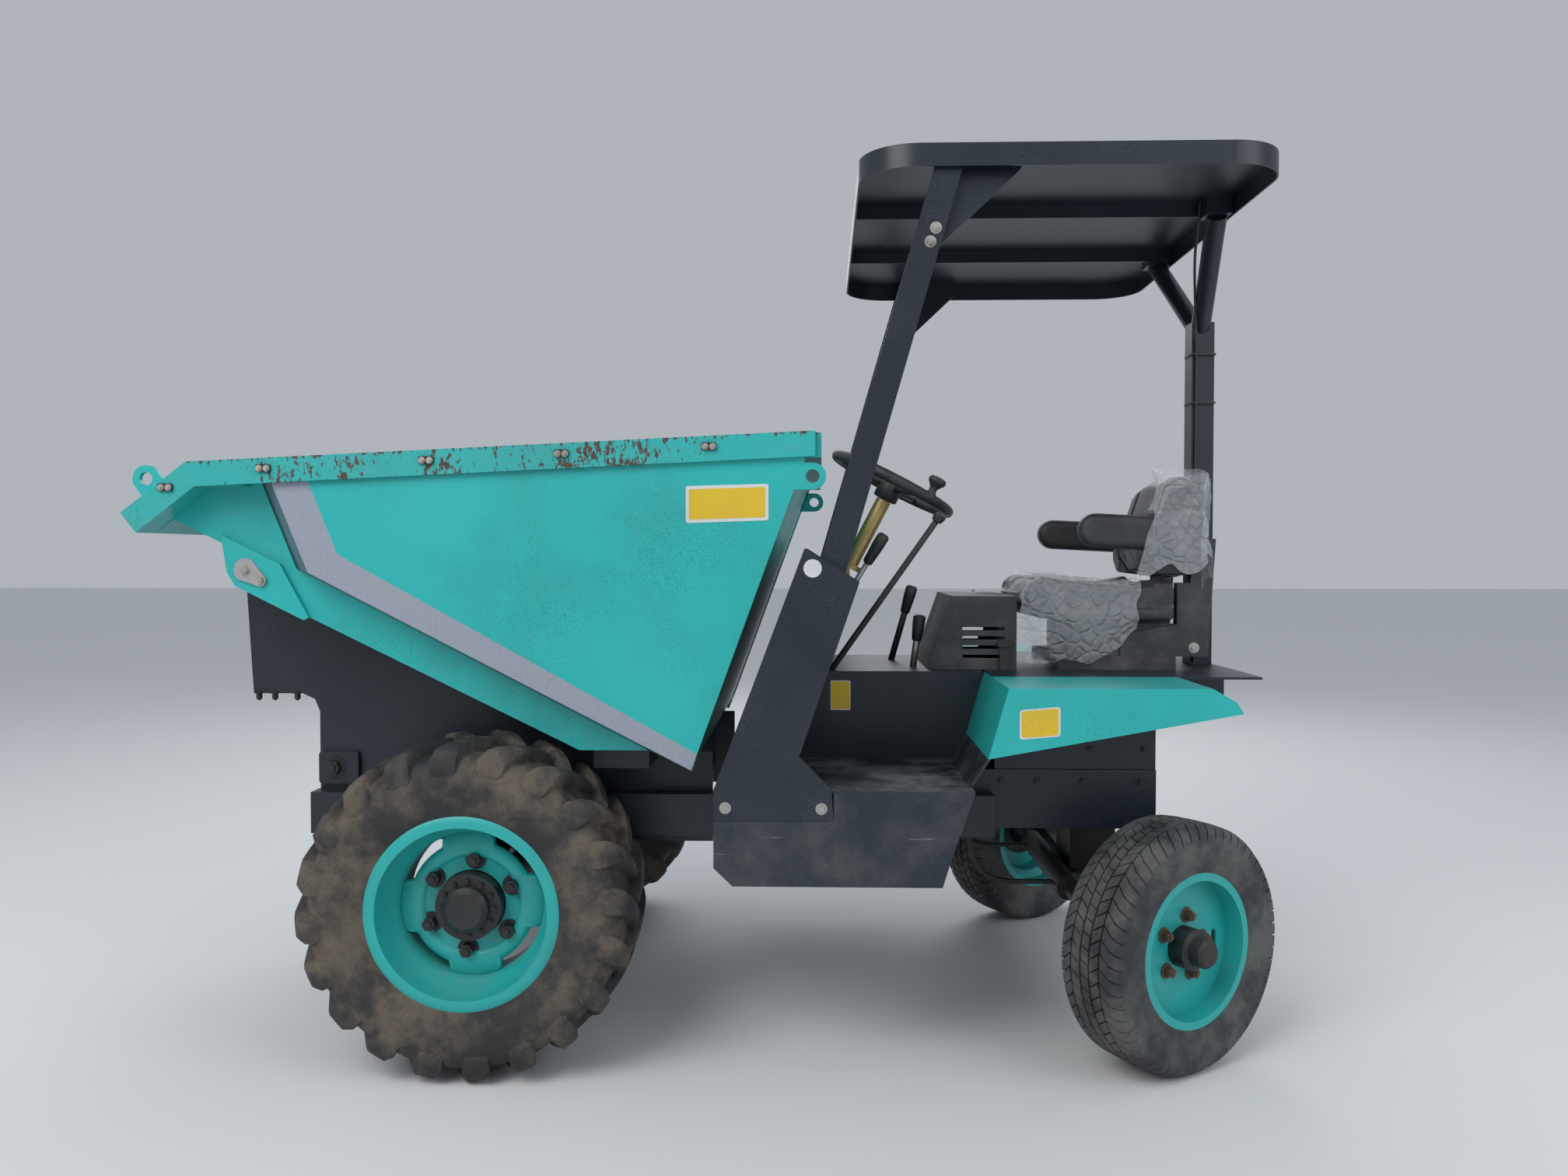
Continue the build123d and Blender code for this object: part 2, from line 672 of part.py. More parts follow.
kingpin_at = Location((KINGPIN_X, -KINGPIN_Y, REAR_TYRE_R), (0, 0, STEER_REST))
saddle_x = min(KINGPIN_X - 60, REAR_X[1] - 143)  # the saddle reaches under the rear body
with BuildPart() as rear_axle:
    add(block((KINGPIN_X - 40, KINGPIN_X + 40), (-KINGPIN_Y + 30, KINGPIN_Y - 30), (REAR_TYRE_R - 40, REAR_TYRE_R + 40)))
    add(block((KINGPIN_X - 60, KINGPIN_X + 60), (-90, 90), (REAR_TYRE_R + 40, REAR_BAND_Z[0])))
    add(block((saddle_x, KINGPIN_X + 60), (-90, 90), (REAR_BAND_Z[0] - 40, REAR_BAND_Z[0])))
    with BuildSketch(Plane.XY.offset(REAR_TYRE_R - 50)):
        with Locations((KINGPIN_X, -KINGPIN_Y), (KINGPIN_X, KINGPIN_Y)):
            Circle(36)
    extrude(amount=100)
    with BuildSketch(Plane.XY.offset(REAR_TYRE_R - 50)):
        with Locations((KINGPIN_X, -KINGPIN_Y), (KINGPIN_X, KINGPIN_Y)):
            Circle(KINGPIN_R + PIN_PLAY)
    extrude(amount=100, mode=Mode.SUBTRACT)
save(rear_axle.part, "rear_axle")

stub_r = 20.0
stub_end = -REAR_OFFSET - 62
with BuildPart() as knuckle:
    add(block((-38, 38), (-60, 38), (53, 73)))
    add(block((-38, 38), (-60, 38), (-73, -53)))
    add(block((-38, 38), (-60, -42), (-73, 73)))
    add(block((-STEER_ARM - 22, -38), (-20, 20), (53, 73)))
    add(rod((0, 0, -78), (0, 0, 78), KINGPIN_R))
    add(rod((0, -50, 0), (0, stub_end, 0), stub_r))
right_turn = Location((KINGPIN_X, KINGPIN_Y, REAR_TYRE_R), (0, 0, STEER_REST))
save(knuckle.part.moved(kingpin_at), "knuckle_left")
save(mirror(knuckle.part, about=Plane.XZ).moved(right_turn), "knuckle_right")

rear_disc_y = -REAR_RIM_W / 2 + REAR_DISC_IN
rear_offset = Location((0, -REAR_OFFSET, 0))
rear_section = tyre_outline(REAR_TYRE_R, REAR_TYRE_W, REAR_BEAD_R, REAR_RIM_R, REAR_RIM_W, REAR_FACETS)
rear_tyre = faceted(rear_section, REAR_FACETS)
rear_rim = rim_solid(
    REAR_BEAD_R, REAR_RIM_R, REAR_RIM_W, REAR_DISC_IN, 6, REAR_HUB_R + GAP, 8, 112, 16, 12
)
rear_hub = turned(
    [
        (0, rear_disc_y - 78),
        (26, rear_disc_y - 78),
        (33, rear_disc_y - 70),
        (33, rear_disc_y - 44),
        (REAR_HUB_R, rear_disc_y - 38),
        (REAR_HUB_R, rear_disc_y + 6),
        (86, rear_disc_y + 6),
        (86, rear_disc_y + 18),
        (58, rear_disc_y + 24),
        (58, 48),
        (stub_r + PIN_PLAY, 48),
        (stub_r + PIN_PLAY, -REAR_OFFSET + 56),
        (0, -REAR_OFFSET + 56),
    ]
)
for piece, name in ((rear_tyre, "rear_tyre"), (rear_rim, "rear_rim"), (rear_hub, "rear_hub")):
    left = piece.moved(rear_offset)
    save(left.moved(kingpin_at), f"{name}_left")
    save(mirror(left, about=Plane.XZ).moved(right_turn), f"{name}_right")

arm_x = KINGPIN_X - STEER_ARM * cos(radians(STEER_REST))
arm_shift = -STEER_ARM * sin(radians(STEER_REST))
tie_z = REAR_TYRE_R + 33
with BuildPart() as tie_rod:
    add(rod((arm_x, -KINGPIN_Y + arm_shift, tie_z), (arm_x, KINGPIN_Y + arm_shift, tie_z), TIE_ROD_R))
    for end in (-KINGPIN_Y, KINGPIN_Y):
        add(rod((arm_x, end + arm_shift, tie_z - 15), (arm_x, end + arm_shift, tie_z + 15), 23))
save(tie_rod.part, "tie_rod")

with BuildPart() as steering_ram:
    with BuildSketch(Plane(origin=(arm_x, -STEER_RAM_L / 2, tie_z), z_dir=(0, 1, 0))):
        Circle(STEER_RAM_R)
    extrude(amount=STEER_RAM_L)
    add(block((arm_x, KINGPIN_X - 40), (-50, 50), (tie_z - 16, tie_z + 5)))
    with BuildSketch(Plane(origin=(arm_x, -STEER_RAM_L / 2, tie_z), z_dir=(0, 1, 0))):
        Circle(TIE_ROD_R + PIN_PLAY)
    extrude(amount=STEER_RAM_L, mode=Mode.SUBTRACT)
save(steering_ram.part, "steering_ram")

# Tipping ram, drawn along +Z from its foot and leant to the eye

ram_run = (ram_eye[0] - RAM_FOOT[0], ram_eye[1] - RAM_FOOT[1])
ram_length = hypot(*ram_run)
ram_at = Location((RAM_FOOT[0], 0, RAM_FOOT[1]), (0, degrees(atan2(ram_run[0], ram_run[1])), 0))
barrel_top = ram_length - 62
with BuildPart() as ram_barrel:
    with BuildSketch(Plane.XZ.offset(-34)):
        Circle(38)
    extrude(amount=68)
    with BuildSketch(Plane.XY.offset(26)):
        Circle(RAM_BARREL_R)
    extrude(amount=barrel_top - 26)
    with BuildSketch(Plane.XZ.offset(-60)):
        Circle(PIVOT_R + PIN_PLAY)
    extrude(amount=120, mode=Mode.SUBTRACT)
    with BuildSketch(Plane.XY.offset(60)):
        Circle(RAM_ROD_R + PIN_PLAY)
    extrude(amount=barrel_top, mode=Mode.SUBTRACT)
save(ram_barrel.part.moved(ram_at), "ram_barrel")
with BuildPart() as ram_rod:
    with BuildSketch(Plane.XY.offset(70)):
        Circle(RAM_ROD_R)
    extrude(amount=ram_length - 70)
    with BuildSketch(Plane.XZ.offset(-RAM_LUG_GAP + 2)):
        with Locations((0, ram_length)):
            Circle(34)
    extrude(amount=2 * RAM_LUG_GAP - 4)
save(ram_rod.part.moved(ram_at), "ram_rod")

# Operator's place: bulkhead, pedestals, dash, tunnel, steps

PEDESTAL_FOOT = (548.0, 646.0)
pedestal_y = STEP_Y[1] - PEDESTAL_W
cover_t = 5.0
fender_low = (FENDER_FRONT_X - 45, 708.0)


def bulk_x(z):
    """Position of the bulkhead's front face at height z."""
    share = (z - PEDESTAL_FOOT[1]) / (PEDESTAL_TOP[1] - PEDESTAL_FOOT[1])
    return PEDESTAL_FOOT[0] + share * (PEDESTAL_TOP[0] - PEDESTAL_FOOT[0])


bulk_outline = [
    (bulk_x(STEP_Z + 1), STEP_Z + 1),
    PEDESTAL_TOP,
    (PEDESTAL_TOP[0] + cover_t, PEDESTAL_TOP[1]),
    (bulk_x(STEP_Z + 1) + cover_t, STEP_Z + 1),
]

pedestal_low = STEP_Z - 66
pedestal_outline = [
    (PEDESTAL_FOOT[0], pedestal_low),
    (811, pedestal_low),
    (807, STEP_Z + 4),
    (736, 720),
    (868, 1103),
    PEDESTAL_TOP,
    PEDESTAL_FOOT,
]
with BuildPart() as pedestal:
    add(slab(pedestal_outline, STEP_Y[1] - cover_t, STEP_Y[1]))
    upper = [(bulk_x(STEP_Z + 1), STEP_Z + 1), (700, STEP_Z + 1), (736, 720), (868, 1103), PEDESTAL_TOP]
    add(slab(upper, pedestal_y, STEP_Y[1]))
save_both(pedestal.part, "pedestals")

dash_z = 1030.0
dash_outline = [
    (bulk_x(dash_z) + cover_t, dash_z),
    (PEDESTAL_TOP[0] + cover_t, PEDESTAL_TOP[1]),
    (868, 1103),
    (843, dash_z),
]
with BuildPart() as dash:
    add(slab(bulk_outline, -pedestal_y, pedestal_y))
    add(slab(dash_outline, -pedestal_y, pedestal_y))
save(dash.part, "dash")

tunnel_end = FENDER_FRONT_X - 4
tunnel_low = 588.0


def tunnel_outline(inset, low, end):
    """Side outline of the tunnel cover, drawn in by an inset."""
    top = TUNNEL_TOP_Z - inset
    start = cover_t + inset
    return [(bulk_x(STEP_Z + 1) + start, low), (bulk_x(top) + start, top), (end, top), (end, low)]


with BuildPart() as tunnel:
    add(slab(tunnel_outline(0, tunnel_low, tunnel_end), -TUNNEL_Y, TUNNEL_Y))
    inner_y = TUNNEL_Y - cover_t
    add(slab(tunnel_outline(cover_t, tunnel_low - 20, tunnel_end + 20), -inner_y, inner_y), mode=Mode.SUBTRACT)
save(tunnel.part, "tunnel")

step_edge = [
    (STEP_X[0], STEP_Z - 67),
    (STEP_X[0], 474),
    (STEP_X[0] + 42, STEP_SKIRT_Z[0]),
    (STEP_X[1] - 70, STEP_SKIRT_Z[0]),
    (STEP_X[1] - 50, STEP_SKIRT_Z[1]),
    (STEP_X[1], STEP_Z - cover_t),
    (812, STEP_Z - cover_t),
    (812, STEP_Z - 67),
]
bracket_z = (RAIL_Z[0] + 35, RAIL_Z[0] + 75)
with BuildPart() as step:
    add(block((STEP_X[0], STEP_X[1]), (-STEP_Y[1] + cover_t, -TUNNEL_Y), (STEP_Z - cover_t, STEP_Z)))
    add(block((812, STEP_X[1]), (-STEP_Y[1], -TUNNEL_Y), (STEP_Z - cover_t, STEP_Z)))
    add(slab(step_edge, STEP_Y[1] - cover_t, STEP_Y[1]))
    add(block((STEP_X[0], STEP_X[0] + cover_t), (-STEP_Y[1] + cover_t, -FRAME_Y - RAIL_W), (560, STEP_Z)))
    add(block((700, 740), (-STEP_Y[1] + cover_t, -FRAME_Y - RAIL_W), bracket_z))
    add(block((960, 1000), (-STEP_Y[1] + cover_t, -FRAME_Y - RAIL_W), bracket_z))
riser = [
    (STEP_X[1] - 6, STEP_Z),
    fender_low,
    (fender_low[0] + cover_t, fender_low[1]),
    (STEP_X[1] - 1, STEP_Z),
]
with BuildPart() as steps:
    add(step.part)
    add(slab(riser, TUNNEL_Y, FENDER_Y))
save_both(steps.part, "steps")

# Hood in front of the seat, with slots in its sides

hood_front = 1060.0
hood_back = 1290.0


def hood_outline(inset, low):
    """Side outline of the hood, drawn in by an inset."""
    top = HOOD_TOP_Z - inset
    return [(hood_front + inset, low), (hood_front + 66 + inset, top), (hood_back - inset, top), (hood_back - inset, low)]


with BuildPart() as hood:
    add(slab(hood_outline(0, TUNNEL_TOP_Z), -HOOD_Y, HOOD_Y))
    add(slab(hood_outline(4, TUNNEL_TOP_Z - 20), -HOOD_Y + 4, HOOD_Y - 4), mode=Mode.SUBTRACT)
    with BuildSketch(Plane.XZ.offset(-HOOD_Y)):
        with Locations((1205, TUNNEL_TOP_Z + 70)):
            with GridLocations(0, 24, 1, 4):
                SlotOverall(110, 9)
    extrude(amount=2 * HOOD_Y, mode=Mode.SUBTRACT)
save(hood.part, "hood")

# Rear body, engine, gearbox, deck, fenders, tow handle

body_t = 6.0
body_top = DECK_Z - body_t
with BuildPart() as rear_body:
    add(block(REAR_X, (-FRAME_Y, FRAME_Y), (REAR_BAND_Z[0], REAR_BAND_Z[1])))
    add(block((FENDER_FRONT_X + 8, REAR_X[1]), (-FRAME_Y + body_t, FRAME_Y - body_t), (REAR_BAND_Z[1], body_top)))
    inner_x = (REAR_X[0] - 20, REAR_X[1] - body_t)
    inner_y = FRAME_Y - 2 * body_t
    add(block(inner_x, (-inner_y, inner_y), (REAR_BAND_Z[0] + 12, body_top + 20)), mode=Mode.SUBTRACT)
    add(block((1180, 1450), (-inner_y + 60, inner_y - 60), (REAR_BAND_Z[0] - 20, 600)), mode=Mode.SUBTRACT)
save(rear_body.part, "rear_body")

with BuildPart() as engine:
    add(block((1205, 1540), (-210, 210), (REAR_BAND_Z[0] + 12, 820)))
    add(block((760, 1130), (-150, 150), (RAIL_Z[0] + 65, 790)))
save(engine.part, "engine")

deck_end = 1852.0
fender_t = 4.0
fender_in = FRAME_Y - body_t
with BuildPart() as rear_deck:
    add(block((FENDER_FRONT_X + fender_t + 1, deck_end), (-fender_in, fender_in), (body_top, DECK_Z)))
    add(block((REAR_X[1], deck_end), (60, 110), (790, body_top)))
    add(block((REAR_X[1], deck_end), (-110, -60), (790, body_top)))
save(rear_deck.part, "rear_deck")

fender_tip = (FENDER_BACK_X + 22, 811.0)
with BuildPart() as fender:
    add(block((FENDER_FRONT_X, FENDER_BACK_X - 46), (-FENDER_Y, -fender_in), (DECK_Z - fender_t, DECK_Z)))
    side = [
        fender_low,
        fender_tip,
        (FENDER_BACK_X + 6, 836),
        (FENDER_BACK_X - 46, DECK_Z),
        (FENDER_FRONT_X, DECK_Z),
    ]
    add(slab(side, FENDER_Y - fender_t, FENDER_Y))
    front = [
        (FENDER_FRONT_X, DECK_Z),
        (FENDER_FRONT_X + fender_t, DECK_Z - fender_t),
        (fender_low[0] + fender_t, fender_low[1]),
        fender_low,
    ]
    add(slab(front, TUNNEL_Y, FENDER_Y))
    back = [
        (FENDER_BACK_X - 46, DECK_Z),
        (FENDER_BACK_X + 6, 836),
        fender_tip,
        (fender_tip[0] - fender_t, fender_tip[1]),
        (FENDER_BACK_X + 3, 832),
        (FENDER_BACK_X - 50, DECK_Z - fender_t),
    ]
    add(slab(back, fender_in, FENDER_Y))
save_both(fender.part, "fenders")

with BuildPart() as tow_handle:
    for y in (-55, 55):
        add(rod((REAR_X[1], y, 640), (REAR_X[1] + 48, y, 640), 9))
    add(rod((REAR_X[1] + 40, -60, 640), (REAR_X[1] + 40, 60, 640), 9))
save(tow_handle.part, "tow_handle")

# Seat

seat_y = 232.0
seat_back_x = (1738.0, 1770.0)  # backrest's rear face at its foot and at its top
seat_z = (985.0, 1098.0)
backrest_top_z = 1392.0


def backrest_x(z):
    """Position of the backrest's rear face at height z."""
    share = (z - seat_z[1]) / (backrest_top_z - 32 - seat_z[1])
    return seat_back_x[0] + share * (seat_back_x[1] - seat_back_x[0])


seat_bracket = [
    (1560, DECK_Z + 34),
    (1784, DECK_Z + 34),
    (1802, 1204),
    (backrest_x(1204) + GAP, 1204),
    (backrest_x(seat_z[1]) + GAP, seat_z[1]),
    (backrest_x(seat_z[1]) + GAP, 1090),
    (1704, 1090),
    (1704, 984),
    (1560, 956),
]
with BuildPart() as seat_base:
    for y in (-170, 170):
        add(block((1400, 1700), (y - 22, y + 22), (DECK_Z, DECK_Z + 34)))
        add(block((1440, 1690), (y - 8, y + 8), (DECK_Z + 34, seat_z[0])))
    add(block((1540, 1570), (-162, 162), (DECK_Z + 40, DECK_Z + 90)))
    for y in (-170, 170):
        add(slab(seat_bracket, y - 16, y - 8))
        add(slab(seat_bracket, y + 8, y + 16))
save(seat_base.part, "seat_base")

cushion = [
    (1300, seat_z[0] + 17),
    (1300, seat_z[1] - 18),
    (1330, seat_z[1]),
    (1560, seat_z[1] - 10),
    (1640, seat_z[1]),
    (1700, seat_z[1]),
    (1700, seat_z[0]),
    (1420, seat_z[0]),
]
with BuildPart() as seat_cushion:
    add(slab(cushion, -seat_y, seat_y))
    fillet(seat_cushion.part.faces().sort_by(Axis.Y)[0].edges(), 18)
    fillet(seat_cushion.part.faces().sort_by(Axis.Y)[-1].edges(), 18)
save(seat_cushion.part, "seat_cushion")

back_outline = [
    (1646, seat_z[1] + GAP),
    (1632, 1160),
    (1668, 1250),
    (1704, backrest_top_z - 14),
    (1726, backrest_top_z),
    (1762, backrest_top_z - 6),
    (seat_back_x[1], backrest_top_z - 32),
    (backrest_x(seat_z[1] + GAP), seat_z[1] + GAP),
]
with BuildPart() as seat_backrest:
    add(slab(back_outline, -seat_y + 6, seat_y - 6))
    fillet(seat_backrest.part.faces().sort_by(Axis.Y)[0].edges(), 16)
    fillet(seat_backrest.part.faces().sort_by(Axis.Y)[-1].edges(), 16)
save(seat_backrest.part, "seat_backrest")

# Armrests: fat round-ended pads on an arm from the backrest's side

armrest_z = (1176.0, 1262.0)
armrest_r = (armrest_z[1] - armrest_z[0]) / 2
with BuildPart() as armrests:
    with BuildSketch(Plane.XZ.offset(seat_y + 8)):
        with Locations((1560, (armrest_z[0] + armrest_z[1]) / 2)):
            SlotOverall(260, 2 * armrest_r, rotation=-3)
    extrude(amount=56)
    fillet(armrests.part.edges().group_by(Axis.Y)[0] + armrests.part.edges().group_by(Axis.Y)[-1], 20)
    add(slab([(1610, 1206), (1610, 1242), (1730, 1262), (1730, 1222)], seat_y - 6, seat_y + 12))
    mirror(about=Plane.XZ)
save(armrests.part, "armrests")

# Canopy: tray roof with ribs, two leaning posts in front, one post with a fork behind

skin = 4.0
roof_mid = ((ROOF_X[0] + ROOF_X[1]) / 2, 0)
roof_size = (ROOF_X[1] - ROOF_X[0], 2 * ROOF_Y)
with BuildPart() as canopy_roof:
    with BuildSketch(Plane.XY.offset(ROOF_Z[0])):
        with Locations(roof_mid):
            RectangleRounded(roof_size[0], roof_size[1], ROOF_CORNER_R)
    extrude(amount=ROOF_Z[1] - ROOF_Z[0])
    with BuildSketch(Plane.XY.offset(ROOF_Z[0])):
        with Locations(roof_mid):
            RectangleRounded(roof_size[0] - 2 * skin, roof_size[1] - 2 * skin, ROOF_CORNER_R - skin)
    extrude(amount=ROOF_Z[1] - ROOF_Z[0] - skin, mode=Mode.SUBTRACT)
    for y in (-225, 225):
        add(block((ROOF_X[0] + 2, ROOF_X[1] - 2), (y - 3, y + 3), (ROOF_Z[0] + 12, ROOF_Z[1] - 2)))
save(canopy_roof.part, "canopy_roof")

roof_under = ROOF_Z[1] - skin
post_y = (STEP_Y[1] - 92, STEP_Y[1] - 92 + POST)
post_lean = (POST_HEAD_X - POST_FOOT_X) / (roof_under - 1176)
half_post = POST * 0.52


def post_x(z, side):
    """Position of a front post's front (-1) or rear (+1) face at height z."""
    return POST_FOOT_X + post_lean * (z - 1176) + side * half_post


def pedestal_top_z(x):
    """Height of the pedestal's sloped top at x."""
    return PEDESTAL_TOP[1] + (x - PEDESTAL_TOP[0]) * (1103 - PEDESTAL_TOP[1]) / (868 - PEDESTAL_TOP[0])


foot_front = meet((post_x(1176, -1), 1176), (post_x(1300, -1), 1300), PEDESTAL_TOP, (868, 1103))
foot_rear = meet((post_x(1176, 1), 1176), (post_x(1300, 1), 1300), PEDESTAL_TOP, (868, 1103))
with BuildPart() as canopy_post:
    outline = [foot_front, foot_rear, (post_x(roof_under, 1), roof_under), (post_x(roof_under, -1), roof_under)]
    add(slab(outline, post_y[0], post_y[1]))
    gusset = [
        (post_x(1840, 1) - 2, 1840),
        (post_x(roof_under, 1) - 2, roof_under),
        (post_x(roof_under, 1) + 118, roof_under),
        (post_x(roof_under, 1) + 118, roof_under - 40),
    ]
    add(slab(gusset, post_y[0] + 26, post_y[0] + 34))
save_both(canopy_post.part, "canopy_posts")

with BuildPart() as rear_post:
    add(block((REAR_POST_X - POST / 2, REAR_POST_X + POST / 2), (-POST / 2, POST / 2), (DECK_Z, FORK_Z)))
    fork_head = REAR_POST_X - 44
    for y in (-1, 1):
        add(rod((REAR_POST_X, 0, FORK_Z - 26), (fork_head, y * FORK_SPREAD, roof_under - 40), 25))
        add(block((fork_head - 34, fork_head + 28), (y * FORK_SPREAD - 32, y * FORK_SPREAD + 32), (roof_under - 44, roof_under)))
save(rear_post.part, "rear_post")

# Steering column and wheel

wheel_axis = Vector(COLUMN_HEAD[0] - COLUMN_FOOT[0], 0, COLUMN_HEAD[1] - COLUMN_FOOT[1]).normalized()
column_foot = Vector(COLUMN_FOOT[0], 0, COLUMN_FOOT[1])
wheel_gap = 3.0
column_len = hypot(COLUMN_HEAD[0] - COLUMN_FOOT[0], COLUMN_HEAD[1] - COLUMN_FOOT[1])
column_at = Plane(origin=column_foot, x_dir=(0, 1, 0), z_dir=wheel_axis)
with BuildPart() as steering_column:
    with BuildSketch(column_at.offset(8)):
        Circle(38)
    extrude(amount=14)
    with BuildSketch(column_at.offset(20)):
        Circle(21)
    extrude(amount=column_len - 20)
    with BuildSketch(column_at.offset(column_len)):
        Circle(SHAFT_R)
    extrude(amount=wheel_gap + 30)
    add(block((COLUMN_FOOT[0] - 40, COLUMN_FOOT[0] + 6), (-36, 36), (1100, 1134)))
    add(slab(dash_outline, -60, 60), mode=Mode.SUBTRACT)
save(steering_column.part, "steering_column")

ring_z = 48.0
ring_r = STEERING_WHEEL_R - STEERING_RIM_R
with BuildPart() as steering_wheel:
    with BuildSketch(Plane.XZ):
        with Locations((ring_r, ring_z)):
            RegularPolygon(STEERING_RIM_R, 12)
    revolve(axis=Axis.Z)
    with BuildSketch(Plane.XY):
        Circle(34)
    extrude(amount=ring_z + 6)
    with BuildSketch(Plane.XY):
        Circle(SHAFT_R + PIN_PLAY)
    extrude(amount=34, mode=Mode.SUBTRACT)
    for angle in (90, 210, 330):
        tip = (ring_r * cos(radians(angle)), ring_r * sin(radians(angle)), ring_z)
        add(rod((tip[0] * 0.14, tip[1] * 0.14, ring_z - 10), tip, 8))
    knob_at = (ring_r * cos(radians(KNOB_ANGLE)), ring_r * sin(radians(KNOB_ANGLE)))
    add(rod((knob_at[0], knob_at[1], ring_z), (knob_at[0], knob_at[1], ring_z + 60), 17))
save(steering_wheel.part.moved(column_at.offset(column_len + wheel_gap).location), "steering_wheel")

# Levers and pedals


def lever(foot, head, y, radius, grip):
    """A lever: a rod with a round grip at its end."""
    with BuildPart() as arm:
        add(rod((foot[0], y, foot[1]), (head[0], y, head[1]), radius))
        with Locations((head[0], y, head[1])):
            Sphere(grip)
    return arm.part


with BuildPart() as levers:
    add(lever((848, 1046), (943, 1201), -150, 7, 20))
    add(lever((812, TUNNEL_TOP_Z), (1090, 1262), -215, 8, 17))
    add(lever((1030, TUNNEL_TOP_Z), (1046, 990), -120, 9, 18))
    add(lever((985, TUNNEL_TOP_Z), (1040, 1060), 90, 9, 18))
    add(dash.part, mode=Mode.SUBTRACT)
    add(tunnel.part, mode=Mode.SUBTRACT)
save(levers.part, "levers")

with BuildPart() as pedals:
    for y in (-420, 330, 440):
        add(rod((bulk_x(800) + cover_t, y, 800), (730, y, 740), 9))
        add(block((718, 728), (y - 32, y + 32), (705, 775)))
    add(dash.part, mode=Mode.SUBTRACT)
save(pedals.part, "pedals")
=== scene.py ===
# %% [markdown]
# # Site dumper
# A small front-tipping dumper: a teal skip over large driven front wheels, steered rear wheels, a seat
# behind a dash and a canopy on posts. The CAD model is loaded as a fixed frame. This lesson paints it and
# adds what CAD leaves out: tread, nuts, stickers, upholstery, film, cables and dirt.

# %% Load the frame
import math

import bmesh
import bpy
from mathutils import Matrix, Vector
from mathutils.noise import noise as noise_at


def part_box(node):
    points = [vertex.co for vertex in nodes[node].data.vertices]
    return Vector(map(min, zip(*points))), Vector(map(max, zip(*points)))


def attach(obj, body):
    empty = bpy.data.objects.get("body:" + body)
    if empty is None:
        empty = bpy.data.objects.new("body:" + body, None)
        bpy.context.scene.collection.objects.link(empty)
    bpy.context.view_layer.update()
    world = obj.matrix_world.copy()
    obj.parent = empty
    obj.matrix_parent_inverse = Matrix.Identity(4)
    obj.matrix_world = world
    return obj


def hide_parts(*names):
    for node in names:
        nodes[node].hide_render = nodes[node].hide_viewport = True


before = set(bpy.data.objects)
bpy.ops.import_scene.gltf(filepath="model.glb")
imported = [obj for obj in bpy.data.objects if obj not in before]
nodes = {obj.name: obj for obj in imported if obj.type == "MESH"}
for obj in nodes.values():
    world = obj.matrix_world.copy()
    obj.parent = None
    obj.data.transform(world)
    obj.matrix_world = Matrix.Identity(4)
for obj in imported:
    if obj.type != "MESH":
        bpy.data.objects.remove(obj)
scene = bpy.context.scene
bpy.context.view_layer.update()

# %% [markdown]
# ## Measuring from the front axle
# The machine was measured from its front axle, in millimetres. The frame's origin lies on the ground
# under the middle of the machine, so one helper turns a measured point into metres of the frame.

# %% Place helpers
AXLE_TO_ORIGIN = 533.5
SIDES = (("left", -1), ("right", 1))


def at(x, y, z):
    """A point measured from the front axle in millimetres, in the frame in metres."""
    return Vector(((x - AXLE_TO_ORIGIN) / 1000, y / 1000, z / 1000))


def side_view(points):
    """Measured (x, z) points as an outline in the frame."""
    return [tuple(at(x, 0, z).xz) for x, z in points]


def put(name, data):
    """Puts an object of a mesh, curve, lamp or camera in the scene."""
    made = bpy.data.objects.new(name, data)
    scene.collection.objects.link(made)
    return made


print("front axle", at(0, 0, 378))

# %% [markdown]
# ## Camera
# The photo was taken from the machine's left side at chest height with a wide lens. The camera stands
# where a fit of wheel and skip corners put it.

# %% Camera
SENSOR = 36
FOCAL_PIXELS = 1514
PICTURE_PIXELS = 2016
LOOKS_DOWN = 1.51
LOOKS_LEFT = 1.62
scene.view_settings.view_transform = "Standard"
lens = bpy.data.cameras.new("photo_camera")
lens.sensor_width = SENSOR
lens.lens = SENSOR * FOCAL_PIXELS / PICTURE_PIXELS
lens.clip_end = 100
camera = put("photo_camera", lens)
camera.location = at(775.6, -3251.3, 1156.9)
camera.rotation_euler = (math.radians(90 - LOOKS_DOWN), 0, math.radians(LOOKS_LEFT))
scene.camera = camera
print("camera at", camera.location)

# %% [markdown]
# ## Helpers for materials
# Materials are small node graphs. A few helpers keep them readable: one adds a node with its inputs set
# or linked, one mixes two colours by a mask, others do a sum, a mask or a cloud of noise.

# %% Node helpers


def node(tree, kind, inputs=None, **settings):
    """Adds a node; an input is a value or another node's socket."""
    made = tree.nodes.new(kind)
    for key, value in settings.items():
        setattr(made, key, value)
    for key, value in (inputs or {}).items():
        if isinstance(value, bpy.types.NodeSocket):
            tree.links.new(value, made.inputs[key])
        else:
            made.inputs[key].default_value = value
    return made


def mix(tree, mask, below, above):
    """Colour below where mask is 0, above where it is 1."""
    made = node(tree, "ShaderNodeMix", {0: mask, 6: below, 7: above}, data_type="RGBA")
    return made.outputs[2]


def maths(tree, operation, a, b=0.0, c=0.0, clamp=False):
    """One arithmetic step on two or three numbers or sockets."""
    return node(tree, "ShaderNodeMath", {0: a, 1: b, 2: c}, operation=operation, use_clamp=clamp).outputs[0]


def ramp(tree, value, low, high):
    """A mask that rises from 0 at low to 1 at high."""
    made = node(tree, "ShaderNodeMapRange", {0: value, 1: low, 2: high}, interpolation_type="SMOOTHSTEP")
    return made.outputs[0]


